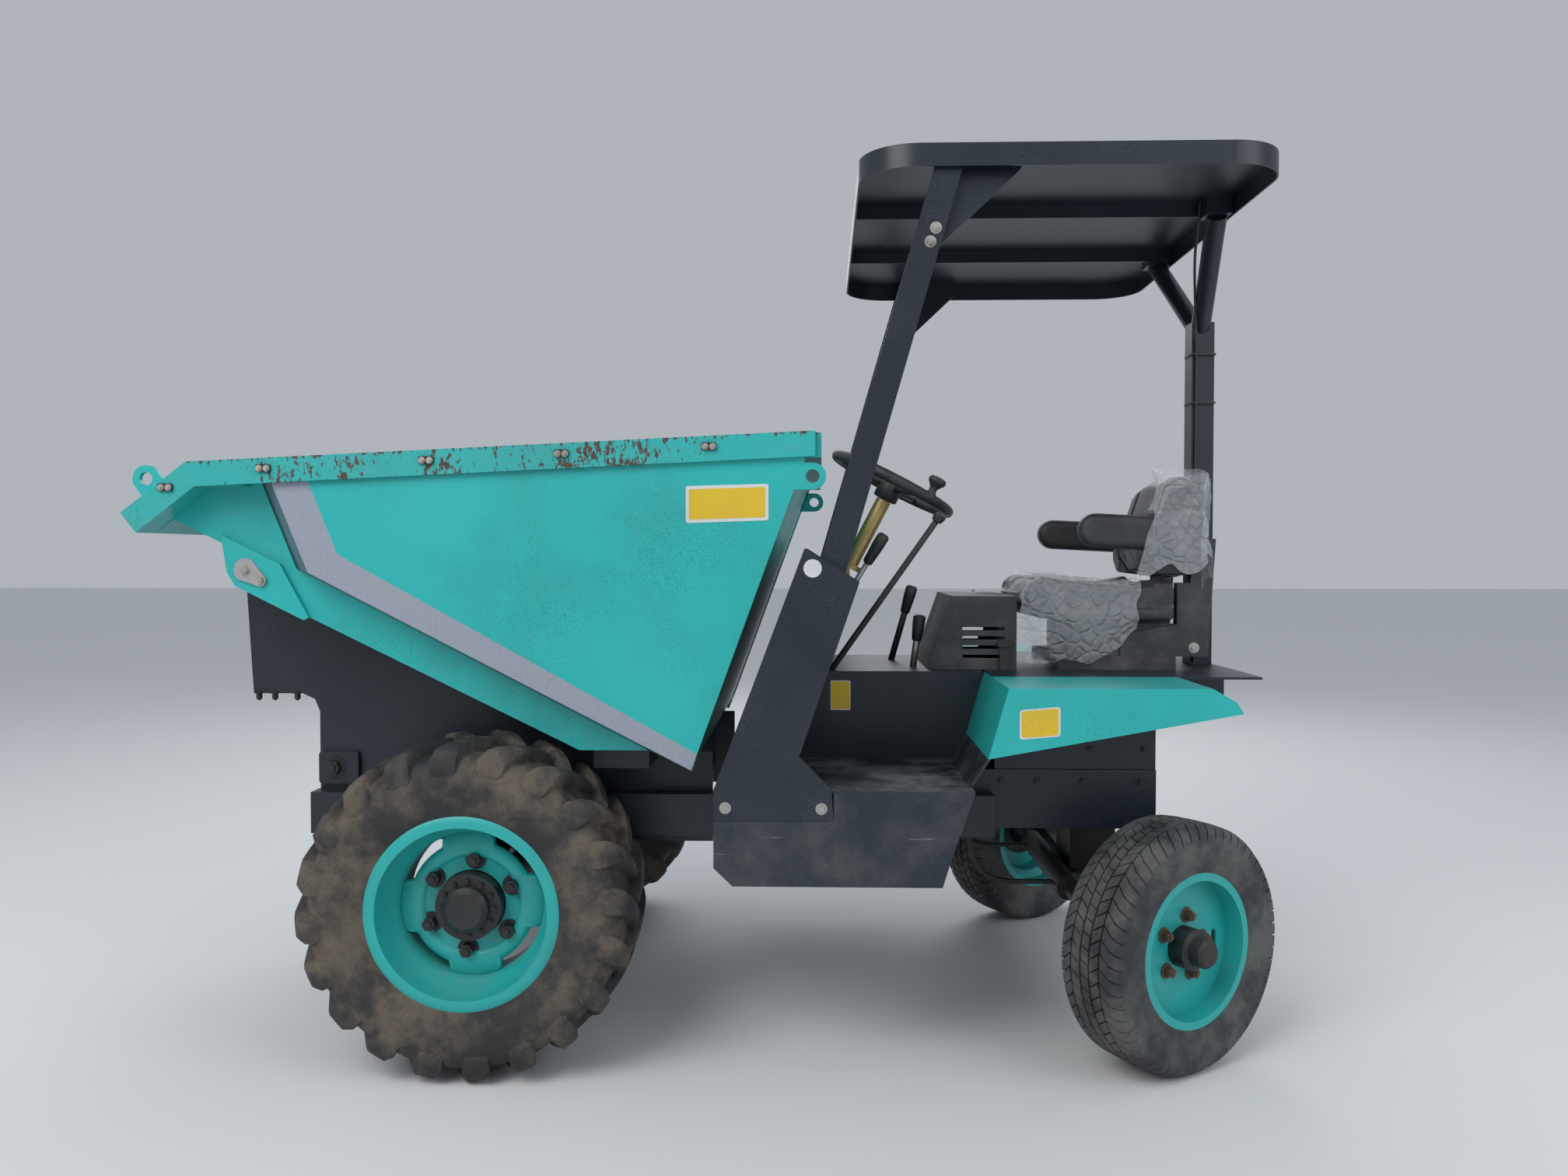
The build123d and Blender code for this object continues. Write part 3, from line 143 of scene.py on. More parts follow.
def noise(tree, where, scale, detail=4.0, rough=0.55):
    """Cloudy noise between 0 and 1."""
    inputs = {"Vector": where, "Scale": scale, "Detail": detail, "Roughness": rough}
    return node(tree, "ShaderNodeTexNoise", inputs).outputs["Fac"]


def stretched(tree, where, scale, turn=(0.0, 0.0, 0.0)):
    """Coordinates turned and scaled differently along each axis."""
    return node(tree, "ShaderNodeMapping", {0: where, 2: turn, 3: scale}).outputs[0]


def shade(colour, share=1.0):
    """A colour made darker or lighter, with its alpha."""
    return tuple(min(1.0, c * share) for c in colour) + (1,)


def new_material(name):
    """A material with an empty graph, its shader and its Object coordinates."""
    material = bpy.data.materials.new(name)
    material.use_nodes = True
    tree = material.node_tree
    tree.nodes.clear()
    shader = node(tree, "ShaderNodeBsdfPrincipled")
    out = node(tree, "ShaderNodeOutputMaterial")
    tree.links.new(shader.outputs[0], out.inputs[0])
    where = node(tree, "ShaderNodeTexCoord").outputs["Object"]
    return material, tree, shader, where


def graph_of(material):
    """A finished material's tree, shader and Object coordinates, for a layer on top."""
    tree = material.node_tree
    shader = next(n for n in tree.nodes if n.type == "BSDF_PRINCIPLED")
    where = next(n for n in tree.nodes if n.type == "TEX_COORD").outputs["Object"]
    return tree, shader, where


def bump(tree, shader, height, strength, distance):
    """Drives the shader's normal by a height."""
    made = node(tree, "ShaderNodeBump", {"Height": height, "Strength": strength, "Distance": distance})
    tree.links.new(made.outputs[0], shader.inputs["Normal"])


# %% [markdown]
# ## Floor and light
# A pale floor and soft lamps keep the paint's own colours.

# %% Floor and lamps
floor_material, tree, shader, where = new_material("studio_floor")
shader.inputs["Base Color"].default_value = (0.74, 0.75, 0.76, 1)
shader.inputs["Roughness"].default_value = 0.9
floor_mesh = bpy.data.meshes.new("studio_floor")
floor_mesh.from_pydata([(-30, -8, 0), (30, -8, 0), (30, 40, 0), (-30, 40, 0)], [], [(0, 1, 2, 3)])
floor_mesh.materials.append(floor_material)
floor = put("studio_floor", floor_mesh)

world = bpy.data.worlds.new("studio_world")
world.use_nodes = True
scene.world = world
sky = world.node_tree.nodes["Background"]
sky.inputs[0].default_value = (0.86, 0.92, 1.0, 1)
sky.inputs[1].default_value = 0.50


def lamp(name, place, target, size, watts, colour):
    """A soft square lamp aimed at a point."""
    data = bpy.data.lights.new(name, "AREA")
    data.size = size
    data.energy = watts
    data.color = colour
    lamp_object = put(name, data)
    lamp_object.location = place
    aim = Vector(target) - Vector(place)
    lamp_object.rotation_euler = aim.to_track_quat("-Z", "Y").to_euler()


lamp("key_lamp", (-2.6, -4.2, 4.6), (0, 0, 0.8), 3.5, 190, (1, 0.98, 0.95))
lamp("fill_lamp", (4.0, -3.4, 3.0), (0, 0, 0.9), 3.0, 60, (0.93, 0.97, 1))
lamp("back_lamp", (0.5, 4.5, 4.5), (0, 0, 1.0), 4.0, 110, (1, 1, 1))
print("stage ready")

# %% [markdown]
# ## Paints
# Site machines wear in layers: satin paint, faint cloudy fading, dry dust where it can settle, dark
# specks of splashed bitumen (pale ones on dark paint), rust where the paint is through. Each layer is one
# mask from noise at its own scale, and dust gathers on faces that look up.

# %% Painted metal
EARTH = (0.26, 0.25, 0.23)
GRIME = (0.030, 0.075, 0.080, 1)
PALE_SPECK = (0.17, 0.18, 0.19, 1)
DARK_SPECK = (0.012, 0.014, 0.016, 1)
BARE_STEEL = (0.30, 0.30, 0.29, 1)
DARK_RUST = (0.10, 0.035, 0.014, 1)
LIGHT_RUST = (0.24, 0.10, 0.045, 1)


def weathered(name, colour, roughness, dust, dust_colour, speck, rust, scrape):
    """Satin paint with fading, dust, dark specks, rust and scrapes; the amounts run from 0 to 1."""
    material, tree, shader, where = new_material(name)
    cloudy = noise(tree, where, 2.3, 5)
    fade = mix(tree, cloudy, shade(colour, 0.86), shade(colour, 1.16))
    normal = node(tree, "ShaderNodeNewGeometry").outputs["Normal"]
    up = node(tree, "ShaderNodeSeparateXYZ", {0: normal}).outputs["Z"]
    settle = maths(tree, "MULTIPLY_ADD", ramp(tree, up, 0.2, 0.95), 0.75, 0.28)
    patchy = ramp(tree, noise(tree, where, 7.0, 8, 0.7), 0.38, 0.72)
    dusty = maths(tree, "MULTIPLY", maths(tree, "MULTIPLY", settle, patchy), dust, clamp=True)
    tone = mix(tree, dusty, fade, shade(dust_colour))
    streak = ramp(tree, noise(tree, stretched(tree, where, (26.0, 26.0, 2.2)), 1.0, 5, 0.65), 0.60, 0.78)
    tone = mix(tree, maths(tree, "MULTIPLY", streak, 0.30 * dust), tone, shade(dust_colour))
    grime = ramp(tree, noise(tree, where, 3.4, 7, 0.62), 0.44, 0.70)
    tone = mix(tree, maths(tree, "MULTIPLY", grime, 0.22 * speck), tone, GRIME)
    spots = node(tree, "ShaderNodeTexVoronoi", {"Vector": where, "Scale": 210.0, "Randomness": 1.0})
    near = ramp(tree, spots.outputs["Distance"], 0.36, 0.14)
    speck_tone = PALE_SPECK if max(colour) < 0.05 else DARK_SPECK
    some = ramp(tree, noise(tree, where, 3.6, 5), 0.42, 0.74)
    spotted = maths(tree, "MULTIPLY", maths(tree, "MULTIPLY", near, some), speck)
    tone = mix(tree, spotted, tone, speck_tone)
    scrape_place = stretched(tree, where, (6.0, 60.0, 90.0), (0.3, 0.5, 0.2))
    scrapes = ramp(tree, noise(tree, scrape_place, 1.0, 6, 0.75), 0.71 - 0.16 * scrape, 0.76 - 0.12 * scrape)
    bare = maths(tree, "MULTIPLY", scrapes, scrape, clamp=True)
    tone = mix(tree, bare, tone, BARE_STEEL)
    rusty = ramp(tree, noise(tree, where, 15.0, 9, 0.72), 0.70 - 0.14 * rust, 0.76 - 0.12 * rust)
    rusted = maths(tree, "MULTIPLY", rusty, rust, clamp=True)
    rust_tone = mix(tree, noise(tree, where, 60.0, 4), DARK_RUST, LIGHT_RUST)
    tone = mix(tree, rusted, tone, rust_tone)
    tree.links.new(tone, shader.inputs["Base Color"])
    matt = maths(tree, "ADD", maths(tree, "MULTIPLY", dusty, 0.40), roughness)
    matt = maths(tree, "ADD", matt, maths(tree, "MULTIPLY", rusted, 0.4), clamp=True)
    tree.links.new(matt, shader.inputs["Roughness"])
    relief = maths(tree, "SUBTRACT", maths(tree, "MULTIPLY", noise(tree, where, 120.0, 3), 0.25), rusted)
    bump(tree, shader, relief, 0.25, 0.0012)
    return material


TEAL = (0.016, 0.420, 0.405)
teal = weathered("teal_paint", TEAL, 0.36, 0.10, EARTH, 0.5, 0.08, 0.06)
teal_rim = weathered("teal_rim_worn", (0.018, 0.390, 0.380), 0.42, 0.25, EARTH, 0.8, 0.30, 0.30)
teal_wheel = weathered("teal_wheel", (0.016, 0.375, 0.362), 0.40, 0.30, (0.16, 0.15, 0.13), 0.7, 0.18, 0.1)
skip_worn = weathered("skip_floor_worn", (0.050, 0.240, 0.265), 0.50, 0.9, (0.40, 0.38, 0.35), 0.3, 0.9, 1.0)
dark = weathered("dark_paint", (0.009, 0.016, 0.026), 0.36, 0.20, (0.085, 0.095, 0.105), 0.35, 0.08, 0.16)
dark_step = weathered("dark_step", (0.011, 0.019, 0.030), 0.42, 0.85, (0.19, 0.19, 0.185), 0.1, 0.25, 0.45)
iron = weathered("oily_iron", (0.012, 0.013, 0.015), 0.45, 0.4, (0.09, 0.075, 0.06), 0.3, 0.25, 0.05)
red = weathered("red_paint", (0.36, 0.03, 0.02), 0.40, 0.4, EARTH, 0.4, 0.3, 0.3)
print("paints", len(bpy.data.materials))

# %% [markdown]
# ## Rubber, plastic, metal and upholstery
# Rubber is nearly black, and what the eye reads is the dried mud on it. Moulded plastic gets a fine
# grain, seat vinyl a pebbled one, and bare metals a brushed shine under oil and dust.

# %% Rubber and plastic


def muddy_rubber(name, base, mud, amount, wheel_scale):
    """Rubber under patches of dried mud, finely cracked."""
    material, tree, shader, where = new_material(name)
    cloudy = noise(tree, where, wheel_scale, 9, 0.68)
    patches = ramp(tree, cloudy, 0.66 - 0.36 * amount, 0.86 - 0.30 * amount)
    grit = noise(tree, where, 170.0, 3, 0.6)
    mud_tone = mix(tree, grit, shade(mud, 0.62), shade(mud, 1.3))
    tone = mix(tree, maths(tree, "MULTIPLY", patches, 0.85), shade(base), mud_tone)
    tree.links.new(tone, shader.inputs["Base Color"])
    tree.links.new(maths(tree, "MULTIPLY_ADD", patches, 0.22, 0.66), shader.inputs["Roughness"])
    bump(tree, shader, maths(tree, "ADD", grit, patches), 0.35, 0.0015)
    return material


def moulded(name, colour, roughness, grain, dust):
    """Grained plastic or vinyl with a little dust in the grain."""
    material, tree, shader, where = new_material(name)
    cells = node(tree, "ShaderNodeTexVoronoi", {"Vector": where, "Scale": grain}, feature="SMOOTH_F1")
    patch = ramp(tree, noise(tree, where, 8.0, 7, 0.66), 0.42, 0.75)
    dusty = maths(tree, "MULTIPLY", patch, dust)
    worn = mix(tree, noise(tree, where, 3.0, 3), shade(colour, 0.8), shade(colour, 1.25))
    tree.links.new(mix(tree, dusty, worn, (0.20, 0.20, 0.20, 1)), shader.inputs["Base Color"])
    tree.links.new(maths(tree, "ADD", dusty, roughness, clamp=True), shader.inputs["Roughness"])
    bump(tree, shader, cells.outputs["Distance"], 0.30, 0.0006)
    return material


def bare_metal(name, colour, roughness, dirt, dirt_colour):
    """Turned or plated metal under oily dirt."""
    material, tree, shader, where = new_material(name)
    shader.inputs["Metallic"].default_value = 0.85
    patch = maths(tree, "MULTIPLY", ramp(tree, noise(tree, where, 24.0, 8, 0.7), 0.40, 0.68), dirt)
    tree.links.new(mix(tree, patch, shade(colour), shade(dirt_colour)), shader.inputs["Base Color"])
    fine = stretched(tree, where, (60.0, 60.0, 900.0))
    brushed = maths(tree, "MULTIPLY_ADD", noise(tree, fine, 1.0, 2), 0.16, roughness)
    rough = maths(tree, "ADD", brushed, maths(tree, "MULTIPLY", patch, 0.4), clamp=True)
    tree.links.new(rough, shader.inputs["Roughness"])
    return material


MUD = (0.150, 0.122, 0.088)
front_rubber = muddy_rubber("front_rubber", (0.020, 0.021, 0.023), MUD, 0.62, 6.0)
rear_rubber = muddy_rubber("rear_rubber", (0.026, 0.028, 0.031), (0.125, 0.125, 0.122), 0.80, 7.0)
black_plastic = moulded("black_plastic", (0.024, 0.025, 0.027), 0.48, 520.0, 0.22)
hood_plastic = moulded("hood_plastic", (0.030, 0.032, 0.036), 0.50, 420.0, 0.40)
vinyl = moulded("seat_vinyl", (0.022, 0.024, 0.027), 0.42, 340.0, 0.18)
steel = bare_metal("bright_steel", (0.55, 0.55, 0.54), 0.22, 0.45, (0.16, 0.14, 0.12))
zinc = bare_metal("zinc_plate", (0.50, 0.49, 0.46), 0.34, 0.6, (0.17, 0.14, 0.11))
brass = bare_metal("gilt_plate", (0.60, 0.43, 0.19), 0.32, 0.35, (0.18, 0.14, 0.09))
rusty_nut = weathered("rusty_nut", (0.11, 0.06, 0.035), 0.6, 0.5, (0.16, 0.11, 0.07), 0.3, 0.95, 0.1)
print("finishes", [m.name for m in bpy.data.materials])

# %% [markdown]
# ## The skip's side panels
# Each panel has a pale stripe, a hand's width from nothing, painted along its front and lower edge, and
# the pressed fold around it is painted darker, a painted shade because it faces down, and black along its
# inner half, a painted shadow line. Both follow straight lines, so the material measures the distance
# from those two lines in Object coordinates.

# %% Skip panel paint
BULGE_FRONT = at(-368, 0, 1122)
HEEL = at(494, 0, 680)
FRONT_TOP = at(-448, 0, 1322)
STRIPE_FRONT = 0.078
STRIPE_LOW = 0.070
STRIPE_NARROWS = 0.031
# How far out the panel's face, the end of its fold and the middle of the fold lie
FACE_Y, FOLD_Y, FOLD_MIDDLE_Y = 0.636, 0.576, 0.600


def line_distance(tree, xyz, a, b):
    """Signed distance, in the side view, from the line through a and b."""
    along = (b - a).normalized()
    across_x, across_z = -along.z, along.x
    x_part = maths(tree, "MULTIPLY", xyz.outputs["X"], across_x)
    z_part = maths(tree, "MULTIPLY_ADD", xyz.outputs["Z"], across_z, x_part)
    return maths(tree, "SUBTRACT", z_part, a.x * across_x + a.z * across_z)


skip_panel = weathered("skip_panel", TEAL, 0.34, 0.10, EARTH, 0.8, 0.06, 0.05)
tree, shader, where = graph_of(skip_panel)
xyz = node(tree, "ShaderNodeSeparateXYZ", {0: where})
from_low = line_distance(tree, xyz, BULGE_FRONT, HEEL)
from_front = maths(tree, "MULTIPLY", line_distance(tree, xyz, BULGE_FRONT, FRONT_TOP), -1.0)
inside = maths(tree, "MINIMUM", from_low, from_front)
side_out = maths(tree, "ABSOLUTE", xyz.outputs["Y"])
on_face = ramp(tree, side_out, FACE_Y, FACE_Y + 0.003)
run = ramp(tree, xyz.outputs["X"], BULGE_FRONT.x, HEEL.x)
run.node.interpolation_type = "LINEAR"
low_width = maths(tree, "MULTIPLY_ADD", run, -STRIPE_NARROWS, STRIPE_LOW)
in_low = maths(tree, "LESS_THAN", from_low, low_width)
in_front = maths(tree, "LESS_THAN", from_front, STRIPE_FRONT)
stripe = maths(tree, "MAXIMUM", in_low, in_front)
stripe = maths(tree, "MULTIPLY", stripe, ramp(tree, inside, -0.001, 0.001))
stripe = maths(tree, "MULTIPLY", stripe, on_face)
worn = ramp(tree, noise(tree, where, 30.0, 8, 0.72), 0.70, 0.64)
stripe = maths(tree, "MULTIPLY", stripe, worn)
# Painted shade: the fold is painted a dark blue-grey because it faces down, and black along its inner half
# as a painted shadow line.
out_of_fold = ramp(tree, side_out, FOLD_Y, FOLD_Y + 0.003)
fold = maths(tree, "MULTIPLY", ramp(tree, inside, 0.001, -0.001), out_of_fold)
edge = ramp(tree, side_out, FOLD_MIDDLE_Y, FOLD_MIDDLE_Y - 0.006)
painted_fold_shade = mix(tree, edge, (0.115, 0.135, 0.185, 1), (0.010, 0.012, 0.016, 1))
plain = shader.inputs["Base Color"].links[0].from_socket
tone = mix(tree, fold, plain, painted_fold_shade)
pale = mix(tree, noise(tree, where, 220.0, 3, 0.7), (0.20, 0.225, 0.285, 1), (0.37, 0.40, 0.46, 1))
tone = mix(tree, stripe, tone, pale)
tree.links.new(tone, shader.inputs["Base Color"])
print("stripe from", BULGE_FRONT, "to", HEEL)

# %% [markdown]
# ## Chips along the skip's rim
# Loading buckets strike the rim's outer face, mostly over its front two thirds, and the paint is through
# there and along its top edge. Upright noise makes the chips, and a mask along the machine and one from
# the top line say where they lie.

# %% Rim chips
tree, shader, where = graph_of(teal_rim)
xyz = node(tree, "ShaderNodeSeparateXYZ", {0: where})
chips = noise(tree, stretched(tree, where, (84.0, 84.0, 40.0)), 1.0, 9, 0.68)
struck = ramp(tree, noise(tree, where, 9.0, 5), 0.30, 0.66)
along = xyz.outputs["X"]
zone = maths(tree, "MULTIPLY", ramp(tree, along, -1.30, -0.85), ramp(tree, along, 0.12, -0.20))
level = maths(tree, "MULTIPLY", maths(tree, "MULTIPLY", struck, zone), 0.17)
below_top = line_distance(tree, xyz, at(-636, 0, 1370), at(771, 0, 1435))
edge = maths(tree, "MULTIPLY", ramp(tree, below_top, -0.016, -0.001), 0.14)
level = maths(tree, "MAXIMUM", level, edge)
bare = ramp(tree, maths(tree, "ADD", chips, level), 0.655, 0.685)
rust_tone = mix(tree, noise(tree, where, 38.0, 5), (0.028, 0.028, 0.029, 1), (0.125, 0.062, 0.040, 1))
plain = shader.inputs["Base Color"].links[0].from_socket
tree.links.new(mix(tree, bare, plain, rust_tone), shader.inputs["Base Color"])
matt = shader.inputs["Roughness"].links[0].from_socket
matt = maths(tree, "MAXIMUM", matt, maths(tree, "MULTIPLY", bare, 0.75))
tree.links.new(matt, shader.inputs["Roughness"])
print("chips on", teal_rim.name)

# %% [markdown]
# ## Finishes on the CAD pieces
# Each CAD piece keeps its shape and takes the finish that its real counterpart has.

# %% Assign finishes
FINISHES = {
    skip_panel: ["skip_sides"],
    teal: ["skip_beams", "skip_back", "skip_fittings", "fenders"],
    teal_rim: ["skip_rim"],
    skip_worn: ["skip_floor"],
    teal_wheel: ["front_rim_left", "front_rim_right", "rear_rim_left", "rear_rim_right"],
    dark: ["frame_plates", "rails", "pedestals", "tunnel", "canopy_posts", "rear_post", "canopy_roof",
           "rear_body", "rear_deck", "dash"],
    dark_step: ["steps", "pedals"],
    iron: ["front_axle", "rear_axle", "knuckle_left", "knuckle_right", "engine", "front_hub_left",
           "front_hub_right", "rear_hub_left", "rear_hub_right", "steering_ram", "tie_rod", "ram_barrel"],
    steel: ["ram_rod", "pins"],
    hood_plastic: ["hood", "seat_base"],
    black_plastic: ["armrests", "levers", "steering_wheel"],
    vinyl: ["seat_cushion", "seat_backrest"],
    brass: ["steering_column"],
    red: ["tow_handle"],
    front_rubber: ["front_tyre_left", "front_tyre_right"],
    rear_rubber: ["rear_tyre_left", "rear_tyre_right"],
}
painted = set()
for finish, names in FINISHES.items():
    for name in names:
        found = [n for n in nodes if n == name or n.startswith(name + "_")]
        for n in found:
            nodes[n].data.materials.clear()
            nodes[n].data.materials.append(finish)
            painted.add(n)
print("painted", len(painted), "of", len(nodes), "left", sorted(set(nodes) - painted))

# %% [markdown]
# ## Repeats by Geometry Nodes
# Tread lugs, tread blocks, nuts and bolts repeat by a rule, so two small node trees make them. The first
# sets a piece round an axle a given number of times. The second sets a hexagon head with its washer on
# each point of a mesh, facing along that point's aim.

# %% Node trees


def new_tree(name, sockets):
    """A geometry tree with named inputs; gives the tree, its input node and the inputs' identifiers."""
    tree = bpy.data.node_groups.new(name, "GeometryNodeTree")
    names = {}
    for label, kind in sockets.items():
        socket = tree.interface.new_socket(label, in_out="INPUT", socket_type="NodeSocket" + kind)
        names[label] = socket.identifier
    tree.interface.new_socket("Geometry", in_out="OUTPUT", socket_type="NodeSocketGeometry")
    return tree, tree.nodes.new("NodeGroupInput").outputs, names


def close_tree(tree, geometry, finish):
    """Realizes the instances, gives them their finish and links the output."""
    real = node(tree, "GeometryNodeRealizeInstances", {0: geometry})
    coated = node(tree, "GeometryNodeSetMaterial", {"Geometry": real.outputs[0], "Material": finish})
    node(tree, "NodeGroupOutput", {0: coated.outputs[0]})


def evaluated(holder):
    """The plain mesh of an object with its modifiers."""
    bpy.context.view_layer.update()
    return bpy.data.meshes.new_from_object(holder.evaluated_get(bpy.context.evaluated_depsgraph_get()))


def run_tree(tree, names, values, mesh):
    """Evaluates a tree on a mesh and gives the plain mesh that results."""
    holder = put("holder", mesh)
    modifier = holder.modifiers.new("rule", "NODES")
    modifier.node_group = tree
    for label, value in values.items():
        modifier[names[label]] = value
    result = evaluated(holder)
    holder.modifiers.clear()
    bpy.data.objects.remove(holder)
    return result


ring_tree, give, ring_names = new_tree(
    "round_an_axle",
    {"Geometry": "Geometry", "Piece": "Object", "Count": "Int", "Start": "Float", "Finish": "Material"},
)
points = node(ring_tree, "GeometryNodePoints", {"Count": give["Count"]})
index = node(ring_tree, "GeometryNodeInputIndex").outputs[0]
pitch = maths(ring_tree, "DIVIDE", math.tau, give["Count"])
angle = maths(ring_tree, "MULTIPLY_ADD", index, pitch, give["Start"])
turn = node(ring_tree, "ShaderNodeCombineXYZ", {"Y": angle})
piece = node(ring_tree, "GeometryNodeObjectInfo", {"Object": give["Piece"], "As Instance": True})
placed = node(
    ring_tree,
    "GeometryNodeInstanceOnPoints",
    {"Points": points.outputs[0], "Instance": piece.outputs["Geometry"], "Rotation": turn.outputs[0]},
)
close_tree(ring_tree, placed.outputs[0], give["Finish"])

head_tree, give, head_names = new_tree(
    "heads_on_points",
    {"Geometry": "Geometry", "Radius": "Float", "Height": "Float", "Finish": "Material"},
)
whole = node(head_tree, "GeometryNodeJoinGeometry")
# Stud end, nut and washer: corners, and radius, height and lift as shares of the head's
for corners, wide, tall, lift in ((10, 0.5, 1.0, 0.72), (6, 1.0, 1.0, 0.5), (18, 1.55, 0.24, 0.0)):
    radius = maths(head_tree, "MULTIPLY", give["Radius"], wide)
    height = maths(head_tree, "MULTIPLY", give["Height"], tall)
    up = node(head_tree, "ShaderNodeCombineXYZ", {"Z": maths(head_tree, "MULTIPLY", give["Height"], lift)})
    size = {"Vertices": corners, "Radius": radius, "Depth": height}
    solid = node(head_tree, "GeometryNodeMeshCylinder", size)
    lifted = {"Geometry": solid.outputs[0], "Translation": up.outputs[0]}
    head_tree.links.new(node(head_tree, "GeometryNodeTransform", lifted).outputs[0], whole.inputs[0])
aim = node(head_tree, "GeometryNodeInputNamedAttribute", {"Name": "aim"}, data_type="FLOAT_VECTOR")
facing = node(head_tree, "FunctionNodeAlignRotationToVector", {"Vector": aim.outputs[0]}, axis="Z")
dots = node(head_tree, "GeometryNodeMeshToPoints", {"Mesh": give["Geometry"]})
placed = node(
    head_tree,
    "GeometryNodeInstanceOnPoints",
    {"Points": dots.outputs[0], "Instance": whole.outputs[0], "Rotation": facing.outputs[0]},
)
close_tree(head_tree, placed.outputs[0], give["Finish"])
print("trees", ring_tree.name, head_tree.name)

# %% [markdown]
# ## Helpers for pieces
# Small helpers turn meshes into pieces: one cleans a bmesh and makes a piece of it, others skin rows of
# points, turn a profile, join meshes or make a row of bolt heads.

# %% Piece helpers


def clean(bm):
    """Merges doubles and points the faces outwards."""
    bmesh.ops.remove_doubles(bm, verts=bm.verts, dist=1e-6)
    bmesh.ops.recalc_face_normals(bm, faces=bm.faces)


def mesh_of(bm, name):
    """Turns a bmesh into a mesh and frees it."""
    mesh = bpy.data.meshes.new(name)
    bm.to_mesh(mesh)
    bm.free()
    return mesh


def piece_of(bm, name, finish, body, smooth=40, replaces=()):
    """Makes a cleaned bmesh a piece that rides on a body; edges over the smooth angle stay sharp."""
    clean(bm)
    return mesh_piece(mesh_of(bm, name), name, finish, body, smooth, replaces)


def mesh_piece(mesh, name, finish, body, smooth=40, replaces=()):
    """The same for a mesh that is ready."""
    mesh.name = name
    if finish is not None:
        mesh.materials.clear()
        mesh.materials.append(finish)
    mesh.polygons.foreach_set("use_smooth", [True] * len(mesh.polygons))
    mesh.set_sharp_from_angle(angle=math.radians(smooth))
    made = put(name, mesh)
    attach(made, body)
    if replaces:
        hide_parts(*replaces)
    return made


def moved(bm, matrix):
    """Moves a whole bmesh by a matrix."""
    bmesh.ops.transform(bm, matrix=matrix, verts=bm.verts)
    return bm


def skin(bm, here, after):
    """Closes the ring of faces between two loops of as many points."""
    for i in range(len(here)):
        k = (i + 1) % len(here)
        bm.faces.new((here[i], here[k], after[k], after[i]))


def loft(bm, rows):
    """Skins rows of points one to the next and caps both ends."""
    for here, after in zip(rows, rows[1:]):
        skin(bm, here, after)
    bm.faces.new(rows[0])
    bm.faces.new(reversed(rows[-1]))
    return bm


def round_axle(radius, y, angle):
    """A point at that angle round the Y axis."""
    return Vector((radius * math.sin(angle), y, radius * math.cos(angle)))


def spun(profile, steps):
    """A bmesh of a closed profile of (y, radius) turned about the Y axis."""
    bm = bmesh.new()
    rings = []
    for i in range(steps):
        rings.append([bm.verts.new(round_axle(r, y, math.tau * i / steps)) for y, r in profile])
    for i in range(steps):
        skin(bm, rings[i], rings[(i + 1) % steps])
    return bm


def ring_of(bm_piece, count, start, finish):
    """A mesh of a piece set round the Y axis a number of times."""
    clean(bm_piece)
    one = put("one", mesh_of(bm_piece, "one"))
    values = {"Piece": one, "Count": count, "Start": start, "Finish": finish}
    result = run_tree(ring_tree, ring_names, values, bpy.data.meshes.new("empty"))
    bpy.data.objects.remove(one)
    return result


def add_mesh(bm, mesh):
    """Adds a mesh to a bmesh and removes it."""
    bm.from_mesh(mesh)
    bpy.data.meshes.remove(mesh)


def heads(name, places, radius, height, finish, body):
    """Hexagon heads with washers on (point, direction) places, as one piece."""
    mesh = bpy.data.meshes.new("places")
    mesh.from_pydata([p for p, _ in places], [], [])
    aims = mesh.attributes.new("aim", "FLOAT_VECTOR", "POINT")
    aims.data.foreach_set("vector", [c for _, d in places for c in d])
    values = {"Radius": radius, "Height": height, "Finish": finish}
    return mesh_piece(run_tree(head_tree, head_names, values, mesh), name, None, body, 30)


# %% [markdown]
# ## Front tyres
# The driven wheels carry a farm-type tread: thick bars set in a chevron, each curving over the shoulder
# in a rounded knuckle. One bar is lofted through a few stations along its path, the ring tree sets it
# round the carcass, and the two sides stand half a pitch apart.

# %% Front tyre
FRONT_WHEELS = {"left": (at(0, -610, 378), -1), "right": (at(0, 610, 378), 1)}
CARCASS = [(-0.112, 0.200), (-0.119, 0.215), (-0.121, 0.226), (-0.127, 0.240), (-0.1275, 0.247),
           (-0.132, 0.262), (-0.1345, 0.285), (-0.133, 0.308), (-0.126, 0.328), (-0.112, 0.341),
           (-0.085, 0.348), (-0.040, 0.3515)]
CARCASS = CARCASS + [(0.0, 0.352)] + [(-y, r) for y, r in reversed(CARCASS)]
# A bar's stations: distance from the middle, radius of its top, radius of its foot, run back, half width
BAR = [(-0.010, 0.368, 0.335, 0.052, 0.014), (-0.004, 0.374, 0.335, 0.047, 0.017),
       (0.030, 0.3775, 0.335, 0.024, 0.018), (0.066, 0.377, 0.333, 0.000, 0.020),
       (0.098, 0.374, 0.328, -0.019, 0.024), (0.118, 0.367, 0.320, -0.031, 0.029),
       (0.130, 0.352, 0.310, -0.037, 0.032), (0.1346, 0.330, 0.300, -0.038, 0.031),
       (0.1335, 0.312, 0.296, -0.037, 0.024)]
# A bar's section: place across it as a share of its half width, and level between its foot and its top
BAR_SECTION = [(-1.25, 0.0), (-1.0, 0.80), (-0.72, 1.0), (0.0, 1.03), (0.72, 1.0), (1.0, 0.80), (1.25, 0.0)]
BARS = 20
BAR_R = 0.365


